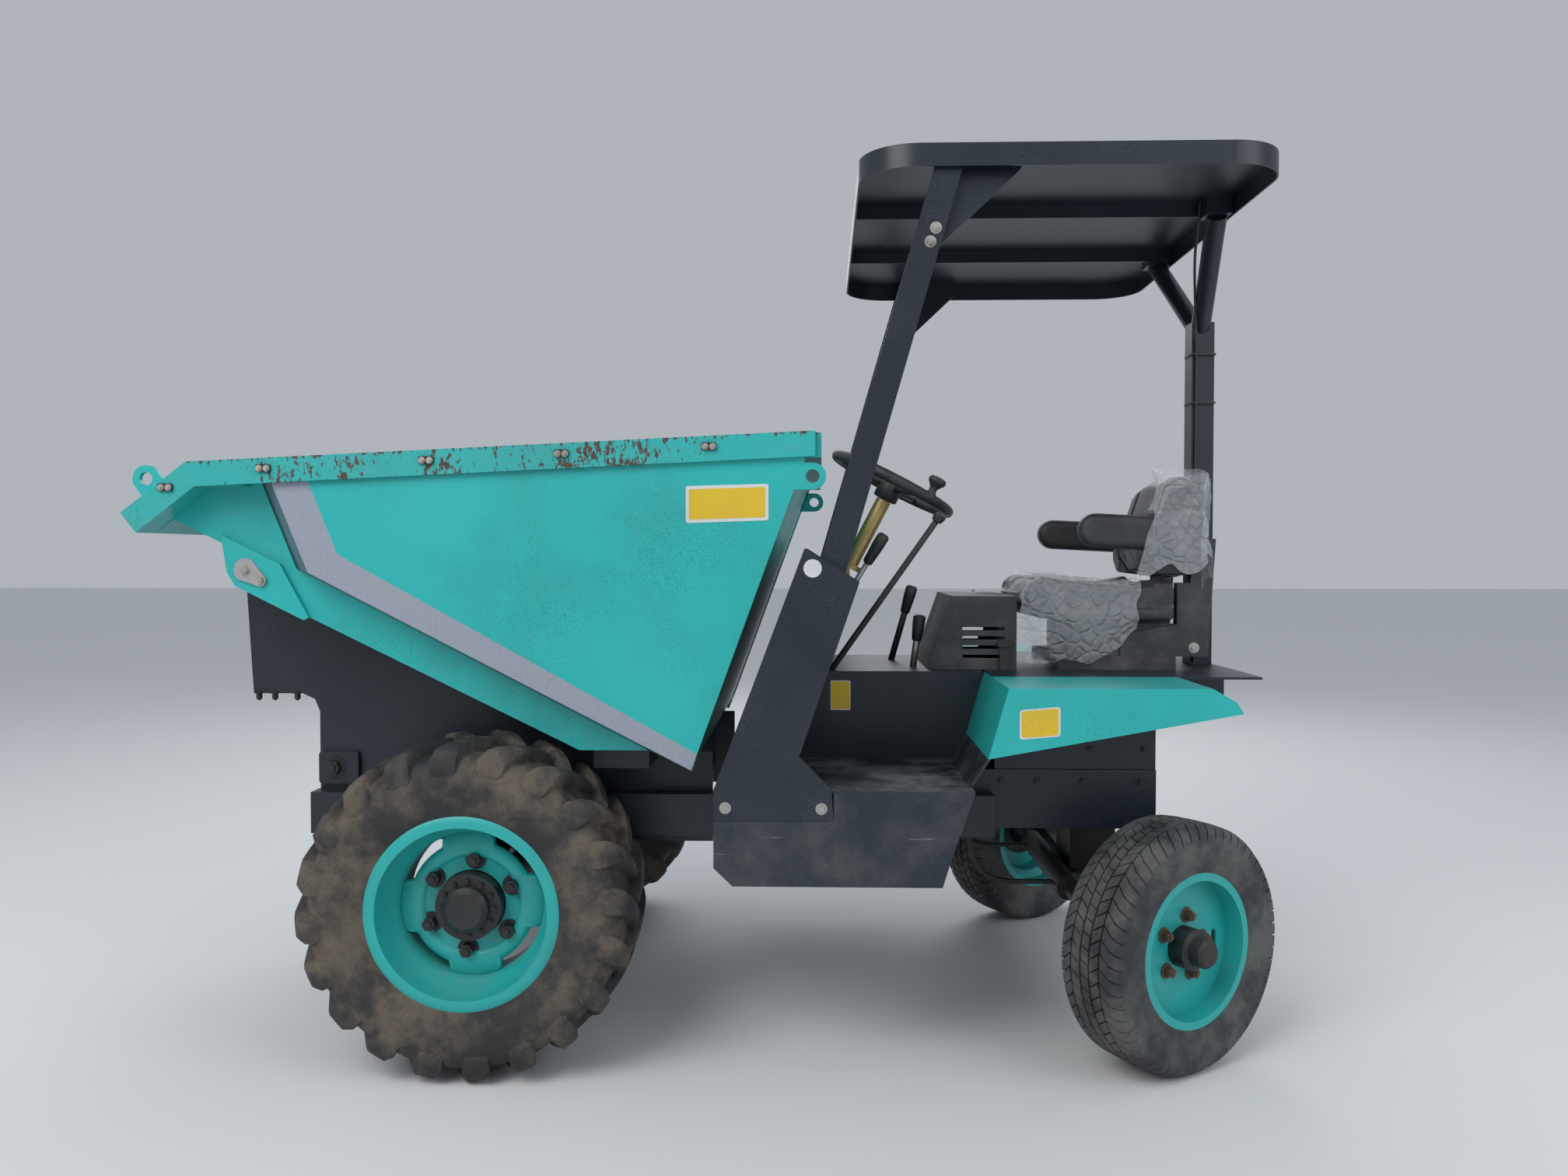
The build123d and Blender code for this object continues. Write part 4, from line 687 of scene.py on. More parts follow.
def tread_bar(side):
    """One bar of the chevron on that side of the tyre."""
    bm = bmesh.new()
    rows = []
    for y, top, foot, run, half in BAR:
        row = []
        for share, level in BAR_SECTION:
            radius = foot + (top - foot) * min(level, 1.0)
            depth = y if level > 0 else y - 0.014 * max(0.0, (y - 0.09) / 0.045)
            row.append(bm.verts.new(round_axle(radius, side * depth, (run + share * half) / BAR_R)))
        rows.append(row)
    return loft(bm, rows)


for side_name, (hub, side) in FRONT_WHEELS.items():
    tyre = spun(CARCASS, 96)
    for lean in (-1, 1):
        start = 0.0 if lean == side else math.pi / BARS
        add_mesh(tyre, ring_of(tread_bar(lean), BARS, start, front_rubber))
    moved(tyre, Matrix.Translation(hub))
    body, plain = "front_wheel_" + side_name, "front_tyre_" + side_name
    made = piece_of(tyre, "lugged_tyre_" + side_name, front_rubber, body, 38, [plain])
    print(made.name, len(made.data.polygons), "faces")

# %% [markdown]
# ## Rear tyres
# The steered wheels have a car-like road tread: rows of slanted blocks between grooves. The carcass is
# spun with a few ribs on its sidewall, and each row of blocks is one ring. They stand turned, as parked.

# %% Rear tyre
STEER = Matrix.Rotation(math.radians(34), 4, "Z")
REAR_WHEELS = {
    "left": (Vector((1.0476, -0.5715, 0.281)), -1),
    "right": (Vector((0.9134, 0.5715, 0.281)), 1),
}
ROAD = [(-0.072, 0.168), (-0.076, 0.180), (-0.077, 0.190), (-0.080, 0.196), (-0.0802, 0.202),
        (-0.0825, 0.206), (-0.0835, 0.222), (-0.0838, 0.228), (-0.0825, 0.236), (-0.0815, 0.246),
        (-0.0785, 0.258), (-0.071, 0.268), (-0.058, 0.2725)]
ROAD = ROAD + [(0.0, 0.274)] + [(-y, r) for y, r in reversed(ROAD)]
REAR_R = 0.281
BLOCKS = 58
# Rows of blocks: middle, half width, slant, radius of the top at the inner and outer end
ROWS = [(0.0, 0.010, 0.004, REAR_R, REAR_R), (0.026, 0.0115, 0.008, REAR_R, 0.2805),
        (0.053, 0.0115, -0.010, 0.2803, 0.278)]


def tread_block(middle, half, slant, pitch, tops, side):
    """A slanted block of the road tread; the outermost also runs over the shoulder."""
    bm = bmesh.new()
    ends = [(middle - half, tops[0], -slant), (middle + half, tops[1], slant)]
    if middle > 0.05:
        ends += [(middle + half + 0.0125, 0.2685, slant * 1.7), (0.0815, 0.2575, slant * 2.0)]
    rows = []
    for y, top, lean in ends:
        row = []
        for share, radius in ((-0.46, top - 0.012), (-0.43, top), (0.43, top), (0.46, top - 0.012)):
            row.append(bm.verts.new(round_axle(radius, side * y, (share * pitch + lean) / REAR_R)))
        rows.append(row)
    return loft(bm, rows)


for side_name, (hub, side) in REAR_WHEELS.items():
    tyre = spun(ROAD, 96)
    pitch = math.tau * REAR_R / BLOCKS
    for middle, half, slant, inner, outer in ROWS:
        for lean in (-1, 1):
            if middle > 0 or lean > 0:
                one = tread_block(middle, half, slant, pitch, (inner, outer), lean)
                add_mesh(tyre, ring_of(one, BLOCKS, lean * 0.02, rear_rubber))
    moved(tyre, Matrix.Translation(hub) @ STEER)
    body, plain = "rear_wheel_" + side_name, "rear_tyre_" + side_name
    made = piece_of(tyre, "road_tyre_" + side_name, rear_rubber, body, 38, [plain])
    print(made.name, len(made.data.polygons), "faces")

# %% [markdown]
# ## Wheel nuts
# Six nuts hold each front wheel and a ring of small bolts its hub cover. The rear wheels have five rusty
# nuts.

# %% Nuts and hub bolts


def nut_ring(place, side, count, first, radius, offset):
    """Places round an axle: how many, the first one's angle, the circle's radius and how far out it lies."""
    out = place.to_3x3() @ Vector((0, side, 0))
    angles = [math.tau * i / count + first for i in range(count)]
    return [(place @ round_axle(radius, side * offset, a), out) for a in angles]


for side_name, (hub, side) in FRONT_WHEELS.items():
    place, body = Matrix.Translation(hub), "front_wheel_" + side_name
    ring = nut_ring(place, side, 6, 0.09, 0.1025, 0.031)
    heads("wheel_nuts_" + side_name, ring, 0.0155, 0.024, iron, body)
    ring = nut_ring(place, side, 12, 0.0, 0.059, 0.0652)
    heads("hub_bolts_" + side_name, ring, 0.0062, 0.009, iron, body)
for side_name, (hub, side) in REAR_WHEELS.items():
    place, body = Matrix.Translation(hub) @ STEER, "rear_wheel_" + side_name
    ring = nut_ring(place, side, 5, 0.2, 0.070, 0.028)
    heads("rear_nuts_" + side_name, ring, 0.0115, 0.020, rusty_nut, body)
print("nuts set")

# %% [markdown]
# ## Seat
# Cushion and backrest are foam under vinyl. Each starts as a slightly small solid of its side outline, is
# remeshed to an even skin and blown up a little as cloth under pressure, with its movement capped and its
# base held. The sewn channels are pressed in afterwards, because the remesh would wipe them out.

# %% Padding helpers
SKIN_VOXEL = 0.006
PAD_PRESSURE = 4.0
PAD_FRAMES = 20


def prism(outline, low_y, high_y):
    """A bmesh of an (x, z) outline drawn out between two y."""
    bm = bmesh.new()
    near = [bm.verts.new((x, low_y, z)) for x, z in outline]
    far = [bm.verts.new((x, high_y, z)) for x, z in outline]
    bm.faces.new(near)
    bm.faces.new(reversed(far))
    for i in range(len(outline)):
        k = (i + 1) % len(outline)
        bm.faces.new((near[i], far[i], far[k], near[k]))
    clean(bm)
    return bm


def swell(bm, cap, held):
    """An even skin of the shape, blown up as cloth by cap at most; held(point) says which points stay."""
    holder = put("pad", mesh_of(bm, "pad"))
    remesh = holder.modifiers.new("skin", "REMESH")
    remesh.mode = "VOXEL"
    remesh.voxel_size = SKIN_VOXEL
    smooth = holder.modifiers.new("soften", "SMOOTH")
    smooth.iterations = 8
    smooth.factor = 0.5
    skin = evaluated(holder)
    holder.modifiers.clear()
    holder.data = skin
    before = [v.co.copy() for v in skin.vertices]
    pins = holder.vertex_groups.new(name="base")
    pins.add([i for i, co in enumerate(before) if held(co)], 1.0, "REPLACE")
    cloth = holder.modifiers.new("swell", "CLOTH")
    cloth.settings.use_pressure = True
    cloth.settings.uniform_pressure_force = PAD_PRESSURE
    cloth.settings.effector_weights.gravity = 0
    cloth.settings.vertex_group_mass = "base"
    cloth.settings.quality = 4
    for frame_number in range(1, PAD_FRAMES + 1):
        scene.frame_set(frame_number)
    blown = evaluated(holder)
    for i, v in enumerate(blown.vertices):
        move = v.co - before[i]
        if move.length > cap:
            v.co = before[i] + move * (cap / move.length)
    holder.modifiers.clear()
    scene.frame_set(1)
    holder.data = blown
    finer = holder.modifiers.new("finer", "SUBSURF")
    finer.levels = finer.render_levels = 1
    result = evaluated(holder)
    holder.modifiers.clear()
    bpy.data.objects.remove(holder)
    return result


def channel(mesh, depth, width, distance):
    """Presses a sewn line in: distance(point) is 0 on the line."""
    for v in mesh.vertices:
        press = depth * math.exp(-((distance(v.co) / width) ** 2))
        if press > 1e-5:
            v.co -= v.normal * press


# %% [markdown]
# The cushion rises a little at its sides, and its middle panel is framed by sewn lines along both sides
# and across the front.

# %% Seat cushion
CUSHION = [(1312, 1010), (1308, 1040), (1312, 1072), (1332, 1090), (1380, 1084), (1480, 1072), (1570, 1070),
           (1640, 1080), (1686, 1086), (1692, 1060), (1690, 1000), (1680, 993), (1430, 993), (1340, 1000)]
CUSHION_HALF = 0.220
CUSHION_SEAM_Y = 0.140
base_z = at(0, 0, 1000).z
seam_x = at(1400, 0, 0).x
piping_z = at(0, 0, 1030).z
outline = side_view(CUSHION)
pad = swell(prism(outline, -CUSHION_HALF, CUSHION_HALF), 0.012, lambda co: co.z < base_z)


def on_top(co):
    """Whether a point of the cushion lies on its upper face."""
    return co.z > base_z + 0.05


for v in pad.vertices:
    side_share = max(0.0, (abs(v.co.y) - 0.135) / 0.09)
    if v.co.z > base_z + 0.03:
        v.co.z += 0.010 * min(1.0, side_share) ** 0.5 if side_share > 0 else -0.004
channel(pad, 0.007, 0.006, lambda co: abs(co.y) - CUSHION_SEAM_Y if on_top(co) else 1.0)
channel(pad, 0.005, 0.006, lambda co: co.x - seam_x if on_top(co) and abs(co.y) < CUSHION_SEAM_Y else 1.0)
channel(pad, 0.004, 0.004, lambda co: co.z - piping_z)
seat_pad = mesh_piece(pad, "seat_cushion_pad", vinyl, "chassis", 80, ["seat_cushion"])
print(seat_pad.name, len(pad.polygons), "faces")

# %% [markdown]
# The backrest's top is rounded off towards its sides, its bolsters stand forward, and sewn lines frame
# the middle panel.

# %% Seat backrest
BACK = [(1652, 1106), (1640, 1150), (1644, 1180), (1672, 1250), (1704, 1360), (1716, 1378), (1740, 1384),
        (1758, 1374), (1762, 1352), (1748, 1240), (1733, 1112)]
BACK_HALF = 0.214
BACK_SEAM_Y = 0.125
shoulder_z = at(0, 0, 1250).z
cross_seam_z = at(0, 0, 1262).z
outline = side_view(BACK)
back_line = (at(1733, 0, 1112), at(1762, 0, 1352))


def behind(co):
    """Distance in front of the backrest's rear face."""
    share = (co.z - back_line[0].z) / (back_line[1].z - back_line[0].z)
    return back_line[0].x + share * (back_line[1].x - back_line[0].x) - co.x


def on_front(co, half=1.0):
    """Whether a point of the backrest lies well in front of its rear face, and within half of its middle."""
    return behind(co) > 0.02 and abs(co.y) < half


back_pad = swell(prism(outline, -BACK_HALF, BACK_HALF), 0.011, lambda co: behind(co) < 0.006)
for v in back_pad.vertices:
    lift = max(0.0, (v.co.z - shoulder_z) / 0.134)
    if abs(v.co.y) > 0.05:
        v.co.z -= 0.055 * lift * ((abs(v.co.y) - 0.05) / 0.17) ** 2
    if behind(v.co) > 0.012:
        v.co.x -= 0.006 * min(1.0, max(0.0, (abs(v.co.y) - 0.11) / 0.08))
channel(back_pad, 0.006, 0.006, lambda co: abs(co.y) - BACK_SEAM_Y if on_front(co) else 1.0)
channel(back_pad, 0.005, 0.006, lambda co: co.z - cross_seam_z if on_front(co, BACK_SEAM_Y) else 1.0)
channel(back_pad, 0.004, 0.004, lambda co: behind(co) - 0.016)
back_piece = mesh_piece(back_pad, "seat_backrest_pad", vinyl, "chassis", 80, ["seat_backrest"])
print(back_piece.name, len(back_pad.polygons), "faces")

# %% [markdown]
# ## Plates and stickers
# The machine carries small adhesive plates: a yellow one with a pale border on each skip side and each
# fender, a small one at the footwell and a round one on each pedestal. They are blank: thin prisms, the
# coloured field a little proud of the border.

# %% Plates
# How far out the faces lie that carry them
PANEL_Y, PEDESTAL_Y, TUNNEL_Y = 0.640, 0.690, 0.250
sticker_yellow = weathered("sticker_yellow", (0.68, 0.46, 0.02), 0.38, 0.12, EARTH, 0.4, 0.0, 0.1)
sticker_white = weathered("sticker_white", (0.62, 0.64, 0.66), 0.40, 0.20, EARTH, 0.4, 0.0, 0.1)


def rounded(corners, radius, steps=5):
    """A flat (x, z) outline with its corners rounded."""
    points = []
    for i, corner in enumerate(corners):
        here = Vector(corner)
        before = (Vector(corners[i - 1]) - here).normalized()
        after = (Vector(corners[(i + 1) % len(corners)]) - here).normalized()
        reach = radius / math.tan(before.angle(after) / 2)
        start, end = here + before * reach, here + after * reach
        for k in range(steps + 1):
            t = k / steps
            points.append(tuple(start * (1 - t) ** 2 + here * 2 * t * (1 - t) + end * t**2))
    return points


def sticker(name, outline, field, face_y, body):
    """A bordered plate on both sides of the machine: pale border, coloured field."""
    layers = (("border", outline, 0.0008, sticker_white), ("field", field, 0.0012, sticker_yellow))
    for side_name, side in SIDES:
        for part, shape, lift, finish in layers:
            if shape:
                bm = prism(shape, side * (face_y - 0.0004), side * (face_y + lift))
                piece_of(bm, f"{name}_{part}_{side_name}", finish, body, 30)


def shrunk(outline, share):
    """The outline drawn in towards its middle."""
    middle = sum((Vector(p) for p in outline), Vector((0, 0))) / len(outline)
    return [tuple(middle + (Vector(p) - middle) * share) for p in outline]


sign = [(-0.050, 1.232), (0.134, 1.238), (0.134, 1.319), (-0.050, 1.314)]
field = [(-0.043, 1.2395), (0.127, 1.245), (0.127, 1.312), (-0.043, 1.307)]
sticker("skip_plate", rounded(sign, 0.006), rounded(field, 0.004), PANEL_Y, "skip")
patch_plate = rounded([(0.690, 0.752), (0.780, 0.760), (0.780, 0.826), (0.690, 0.818)], 0.008)
sticker("fender_plate", patch_plate, shrunk(patch_plate, 0.90), PANEL_Y, "chassis")
small = rounded([(0.276, 0.766), (0.327, 0.766), (0.327, 0.842), (0.276, 0.842)], 0.004)
sticker("footwell_plate", small, shrunk(small, 0.93), TUNNEL_Y, "chassis")
turns = [math.tau * i / 32 for i in range(32)]
disc = [(0.232 + 0.020 * math.cos(a), 1.132 + 0.020 * math.sin(a)) for a in turns]
sticker("pedestal_disc", disc, None, PEDESTAL_Y, "chassis")

# %% [markdown]
# ## Bolts
# Hexagon heads hold the pedestals, the axle clamps, the weight under the frame's nose, the canopy and the
# rear panels.

# %% Bolts
CLAMP = rounded([(-450, 600), (-352, 600), (-352, 678), (-450, 678)], 8, 3)
for side_name, side in SIDES:
    out = (0, side, 0)
    pale = [(at(574, side * 690, 607), out), (at(785, side * 690, 606), out)]
    pale += [(Vector((x, side * 0.658, z)), out) for x, z in ((0.500, 1.874), (0.488, 1.844))]
    heads("pale_bolts_" + side_name, pale, 0.0085, 0.008, zinc, "chassis")
    panel = [(at(x, side * 385, 612), out) for x in (1222, 1310, 1420, 1560)]
    panel += [(at(x, side * 379, 690), out) for x in (1300, 1440, 1570)]
    heads("panel_bolts_" + side_name, panel, 0.007, 0.006, iron, "chassis")
    nose = [(at(x, side * 380, 822), (0, 0, -1)) for x in (-606, -566, -510)]
    heads("nose_bolts_" + side_name, nose, 0.008, 0.016, iron, "chassis")
    clamp = prism(side_view(CLAMP), side * 0.385, side * 0.399)
    piece_of(clamp, "clamp_plate_" + side_name, dark, "chassis", 30)
    heads("clamp_bolts_" + side_name, [(at(-412, side * 399, 640), out)], 0.019, 0.016, iron, "chassis")

# %% [markdown]
# ## Hooks, pin keepers and valves
# Along the skip's rim sit small cover hooks, each with two screws.

# %% Rim hooks
hook = rounded([(-0.016, -0.008), (0.016, -0.008), (0.016, 0.009), (-0.016, 0.009)], 0.004)
HOOKS = [(-680, 1312), (-458, 1354), (-92, 1371), (210, 1385), (537, 1400)]
for side_name, side in SIDES:
    hooks = bmesh.new()
    screws = []
    for x, z in HOOKS:
        middle = at(x, side * 654, z)
        one = prism([(px + middle.x, pz + middle.z) for px, pz in hook], side * 0.6535, side * 0.661)
        add_mesh(hooks, mesh_of(one, "hook"))
        screws += [(middle + Vector((dx, side * 0.007, 0.0)), (0, side, 0)) for dx in (-0.0085, 0.0085)]
    piece_of(hooks, "rim_hooks_" + side_name, iron, "skip", 30)
    heads("rim_screws_" + side_name, screws, 0.0048, 0.004, zinc, "skip")
print("hooks", len(HOOKS), "a side")

# %% [markdown]
# A keeper plate, a loop round the pin with a bolted tail, stops each pivot pin and tips with the skip.
# Each front wheel has a short tyre valve.

# %% Pin keepers and valves
PIN, TAIL = at(-533, 0, 1127), at(-499, 0, 1103)
KEEPER_Y, KEEPER_T = 0.587, 0.006
VALVE = [(0.040, 0.0), (0.038, 0.0058), (0.022, 0.0062), (0.020, 0.0045), (0.0, 0.0045), (0.0, 0.0)]
loop = []
for end, radius, first in ((PIN, 0.027, 55), (TAIL, 0.014, -125)):
    for i in range(17):
        a = math.radians(first + 180 * i / 16)
        loop.append((end.x + radius * math.cos(a), end.z + radius * math.sin(a)))
for side_name, side in SIDES:
    face = side * (KEEPER_Y + KEEPER_T)
    piece_of(prism(loop, side * KEEPER_Y, face), "pin_keeper_" + side_name, steel, "skip", 30)
    spots = [(Vector((end.x, face, end.z)), (0, side, 0)) for end in (TAIL, PIN)]
    heads("keeper_bolts_" + side_name, spots, 0.009, 0.007, zinc, "skip")
    place = Matrix.Translation(FRONT_WHEELS[side_name][0] + Vector((0.1034, side * 0.046, 0.1324)))
    stem = moved(spun(VALVE, 12), place @ Matrix.Rotation(0.0 if side > 0 else math.pi, 4, "Z"))
    piece_of(stem, "valve_" + side_name, black_plastic, "front_wheel_" + side_name, 50)
print("keepers at", KEEPER_Y)

# %% [markdown]
# ## Hoses and cable
# Two pressure hoses hang from the body to the steering ram, and a thin cable is tied to the rear post.
# Each is one smooth NURBS curve along a few control points.

# %% Hoses and cable


def hose(name, points, diameter):
    """A cord of the given diameter along a smooth curve through the points."""
    data = bpy.data.curves.new(name, "CURVE")
    data.dimensions = "3D"
    line = data.splines.new("NURBS")
    line.points.add(len(points) - 1)
    for p, co in zip(line.points, points):
        p.co = (*co, 1)
    line.order_u = 3
    line.use_endpoint_u = True
    line.resolution_u = 12
    made = put(name, data)
    bare = evaluated(made)
    bpy.data.meshes.remove(bare)
    data.bevel_depth = diameter / 2
    data.bevel_resolution = 4
    data.use_fill_caps = True
    data.materials.append(black_plastic)
    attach(made, "chassis")


# A hose's points: along the machine, out from its middle, height
HOSE = [(0.640, 0.205, 0.512), (0.640, 0.205, 0.455), (0.640, 0.205, 0.395), (0.665, 0.203, 0.340),
        (0.715, 0.200, 0.316), (0.775, 0.196, 0.314), (0.853, 0.195, 0.314)]
CABLE = [(1.262, -0.0345, 0.872), (1.262, -0.0345, 1.100), (1.262, -0.0345, 1.570), (1.262, -0.0345, 1.740),
         (1.250, -0.060, 1.815), (1.205, -0.190, 1.930), (1.200, -0.240, 1.985), (1.200, -0.250, 2.045)]
for side_name, side in SIDES:
    hose("steering_hose_" + side_name, [(x, side * y, z) for x, y, z in HOSE], 0.014)
hose("post_cable", CABLE, 0.007)

# %% [markdown]
# Two thin ties hold the cable to the post: bands round the post's section, a little wider outside than
# inside.

# %% Cable ties
POST_X = 1.2815
TIE_H = 0.005
BAND = rounded([(1.2505, -0.0392), (1.3125, -0.0392), (1.3125, 0.0312), (1.2505, 0.0312)], 0.006, 3)
WIDER = [(POST_X + (x - POST_X) * 1.05, y * 1.05) for x, y in BAND]
ties = bmesh.new()
for z in (1.570, 1.700):
    corners = ((BAND, z), (WIDER, z), (WIDER, z + TIE_H), (BAND, z + TIE_H))
    loops = [[ties.verts.new((x, y, height)) for x, y in line] for line, height in corners]
    for i in range(4):
        skin(ties, loops[i], loops[(i + 1) % 4])
piece_of(ties, "cable_ties", black_plastic, "chassis", 30)
print("ties on the post")

# %% [markdown]
# ## Front rims
# A pressed steel wheel: a barrel with a rolled lip and a well, and inside it a dished disc whose edge is
# cut back in four places, so that daylight shows between disc and barrel. The barrel is spun from its
# section. The disc is a polar grid whose outer radius follows the four cuts.

# %% Front rim
BARREL = [(0.1225, 0.190), (0.1235, 0.200), (0.122, 0.210), (0.119, 0.2155), (0.115, 0.2155),
          (0.1125, 0.212), (0.1125, 0.205), (0.110, 0.199), (0.100, 0.196), (0.070, 0.193), (0.052, 0.182),
          (0.040, 0.172), (-0.042, 0.172), (-0.062, 0.190), (-0.100, 0.196), (-0.112, 0.199),
          (-0.114, 0.212), (-0.118, 0.2155), (-0.1225, 0.213), (-0.1225, 0.190), (-0.100, 0.188),
          (-0.066, 0.183), (-0.046, 0.163), (0.036, 0.162), (0.052, 0.169), (0.070, 0.183), (0.100, 0.1875)]
# The disc's rings: radius and how far its outer face stands out
DISC = [(0.076, 0.031), (0.104, 0.031), (0.1065, 0.0325), (0.112, 0.0385), (0.117, 0.040), (0.130, 0.039)]
DISC_T = 0.008
DISC_STEPS = 192
EDGE_R, CUT_DEPTH = 0.1635, 0.0215
CUTS = [math.radians(48 + 90 * i) for i in range(4)]
CUT_HALF, CUT_EASE = math.radians(25), math.radians(6)


def disc_edge(angle):
    """The disc's outer radius: on the barrel, or drawn in at a cut."""
    away = min(abs((angle - cut + math.pi) % math.tau - math.pi) for cut in CUTS)
    share = min(1.0, max(0.0, (CUT_HALF - away) / CUT_EASE))
    return EDGE_R - CUT_DEPTH * share * share * (3 - 2 * share)


for side_name, (hub, side) in FRONT_WHEELS.items():
    rim = spun([(side * o, r) for o, r in BARREL], 96)
    spokes = []
    for i in range(DISC_STEPS):
        a = math.tau * i / DISC_STEPS
        edge = disc_edge(a)
        rings = DISC + [(edge - 0.006, 0.037), (edge, 0.031)]
        face = [(o, r) for r, o in rings] + [(o - DISC_T, r) for r, o in reversed(rings)]
        spokes.append([rim.verts.new((r * math.cos(a), side * o, r * math.sin(a))) for o, r in face])
    for i in range(DISC_STEPS):
        skin(rim, spokes[i], spokes[(i + 1) % DISC_STEPS])
    bmesh.ops.remove_doubles(rim, verts=rim.verts, dist=1e-5)
    moved(rim, Matrix.Translation(hub))
    body, plain = "front_wheel_" + side_name, "front_rim_" + side_name
    made = piece_of(rim, "pressed_rim_" + side_name, teal_wheel, body, 42, [plain])
    print(made.name, len(made.data.polygons), "faces")

# %% [markdown]
# ## Steering wheel and levers
# The wheel has a round rim, three spokes and a mushroom knob, all of moulded plastic. Each rod is a spun
# profile laid between two points.

# %% Steering wheel


def turned(profile, foot, head, steps, whole):
    """Adds (height, radius) points turned about the line from foot to head to a bmesh."""
    bm = spun(list(profile) + [(profile[-1][0], 0.0), (profile[0][0], 0.0)], steps)
    bmesh.ops.remove_doubles(bm, verts=bm.verts, dist=1e-6)
    bmesh.ops.delete(bm, geom=[e for e in bm.edges if not e.link_faces], context="EDGES")
    aim = (head - foot).to_track_quat("Y", "Z").to_matrix().to_4x4()
    add_mesh(whole, mesh_of(moved(bm, Matrix.Translation(foot) @ aim), "turned"))


def rod(foot, head, radius, whole):
    """Adds a plain rod with broken edges."""
    length = (head - foot).length
    broken = radius * 0.2
    ends = [(0.0, radius - broken), (broken, radius), (length - broken, radius), (length, radius - broken)]
    turned(ends, foot, head, 16, whole)


RING_R, RING_T = 0.170, 0.015
HUB = [(0.0, 0.030), (0.004, 0.034), (0.040, 0.034), (0.052, 0.028), (0.054, 0.020)]
KNOB = [(0.0, 0.017), (0.010, 0.016), (0.020, 0.0105), (0.028, 0.0105), (0.036, 0.016), (0.043, 0.0225),
        (0.050, 0.0245), (0.057, 0.0215), (0.060, 0.014)]
foot, head = at(858, 0, 1120), at(958, 0, 1312)
axis = (head - foot).normalized()
hub_at = head + axis * 0.003
ring_at = hub_at + axis * 0.048
across, up = Vector((0, 1, 0)), axis.cross(Vector((0, 1, 0)))


def spoke_way(degrees):
    """A direction in the steering wheel's plane."""
    return across * math.cos(math.radians(degrees)) + up * math.sin(math.radians(degrees))


turns = [math.tau * i / 16 for i in range(16)]
wheel = spun([(RING_T * math.sin(a), RING_R + RING_T * math.cos(a)) for a in turns], 72)
moved(wheel, Matrix.Translation(ring_at) @ axis.to_track_quat("Y", "X").to_matrix().to_4x4())
turned(HUB, hub_at, ring_at, 28, wheel)
for degrees in (90, 210, 330):
    way = spoke_way(degrees)
    rod(ring_at - axis * 0.010 + way * 0.024, ring_at + way * 0.168, 0.009, wheel)
knob_at = ring_at + spoke_way(215) * RING_R
turned(KNOB, knob_at, knob_at + axis, 24, wheel)
made = piece_of(wheel, "moulded_wheel", black_plastic, "hand_wheel", 45, ["steering_wheel"])
print(made.name, len(made.data.polygons), "faces")

# %% [markdown]
# The levers have long grips on plated or black rods.

# %% Levers
GRIP = [(0.0, 0.010), (0.004, 0.013), (0.050, 0.0165), (0.074, 0.0165), (0.080, 0.011)]
GRIP_LENGTH = 0.080
# Each lever: foot and head in the side view, distance to the right, radius, plated or not, its grip's length
LEVERS = [
    ((848, 1046), (943, 1201), -150, 0.007, True, 0.090),
    ((812, 866), (1090, 1262), -215, 0.008, False, 0.022),
    ((1030, 866), (1046, 990), -120, 0.009, True, 0.070),
    ((985, 866), (1040, 1060), 90, 0.009, False, 0.080),
]
plated = bmesh.new()
dull = bmesh.new()
for first, last, y, radius, bright, grip in LEVERS:
    foot, head = at(first[0], y, first[1]), at(last[0], y, last[1])
    aim = (head - foot).normalized()
    rod(foot - aim * 0.004, head - aim * grip * 0.6, radius, plated if bright else dull)
    stretch = grip / GRIP_LENGTH
    turned([(h * stretch, r) for h, r in GRIP], head - aim * grip * 0.8, head, 20, dull)
piece_of(plated, "plated_levers", zinc, "chassis", 45)
made = piece_of(dull, "black_levers", black_plastic, "chassis", 45, ["levers"])
print(made.name, len(made.data.polygons), "faces")

# %% [markdown]
# ## Seat bolts and hood latch
# One bolt a side holds the seat's back bracket. A rubber strap with a bar across its end closes the hood.

# %% Seat bolts and hood latch
HOOD_Y = 0.199
STRAP = rounded([(0.712, 0.866), (0.738, 0.866), (0.738, 0.938), (0.712, 0.938)], 0.006)
STRAP_END = rounded([(0.707, 0.925), (0.743, 0.925), (0.743, 0.940), (0.707, 0.940)], 0.004)
for side_name, side in SIDES:
    place = at(1748, side * 186, 922)
    heads("seat_bolts_" + side_name, [(place, (0, side, 0))], 0.009, 0.008, zinc, "chassis")
    for name, shape, depth in (("hood_latch_", STRAP, 0.008), ("latch_bar_", STRAP_END, 0.013)):
        bm = prism(shape, side * HOOD_Y, side * (HOOD_Y + depth))
        piece_of(bm, name + side_name, black_plastic, "chassis", 30)
print("latches on the hood")

# %% [markdown]
# ## Torn film on the seat
# The seat still wears scraps of its clear wrapping. One scrap lies over the cushion with a corner hanging
# down beside it, one hangs over the backrest and the near armrest. Each is a flat patch with a torn
# outline that falls as cloth on copies of the pads, which are removed afterwards. Thin film is stiff for
# its weight, so it keeps small sharp creases; those come as a fine displacement and a bump.

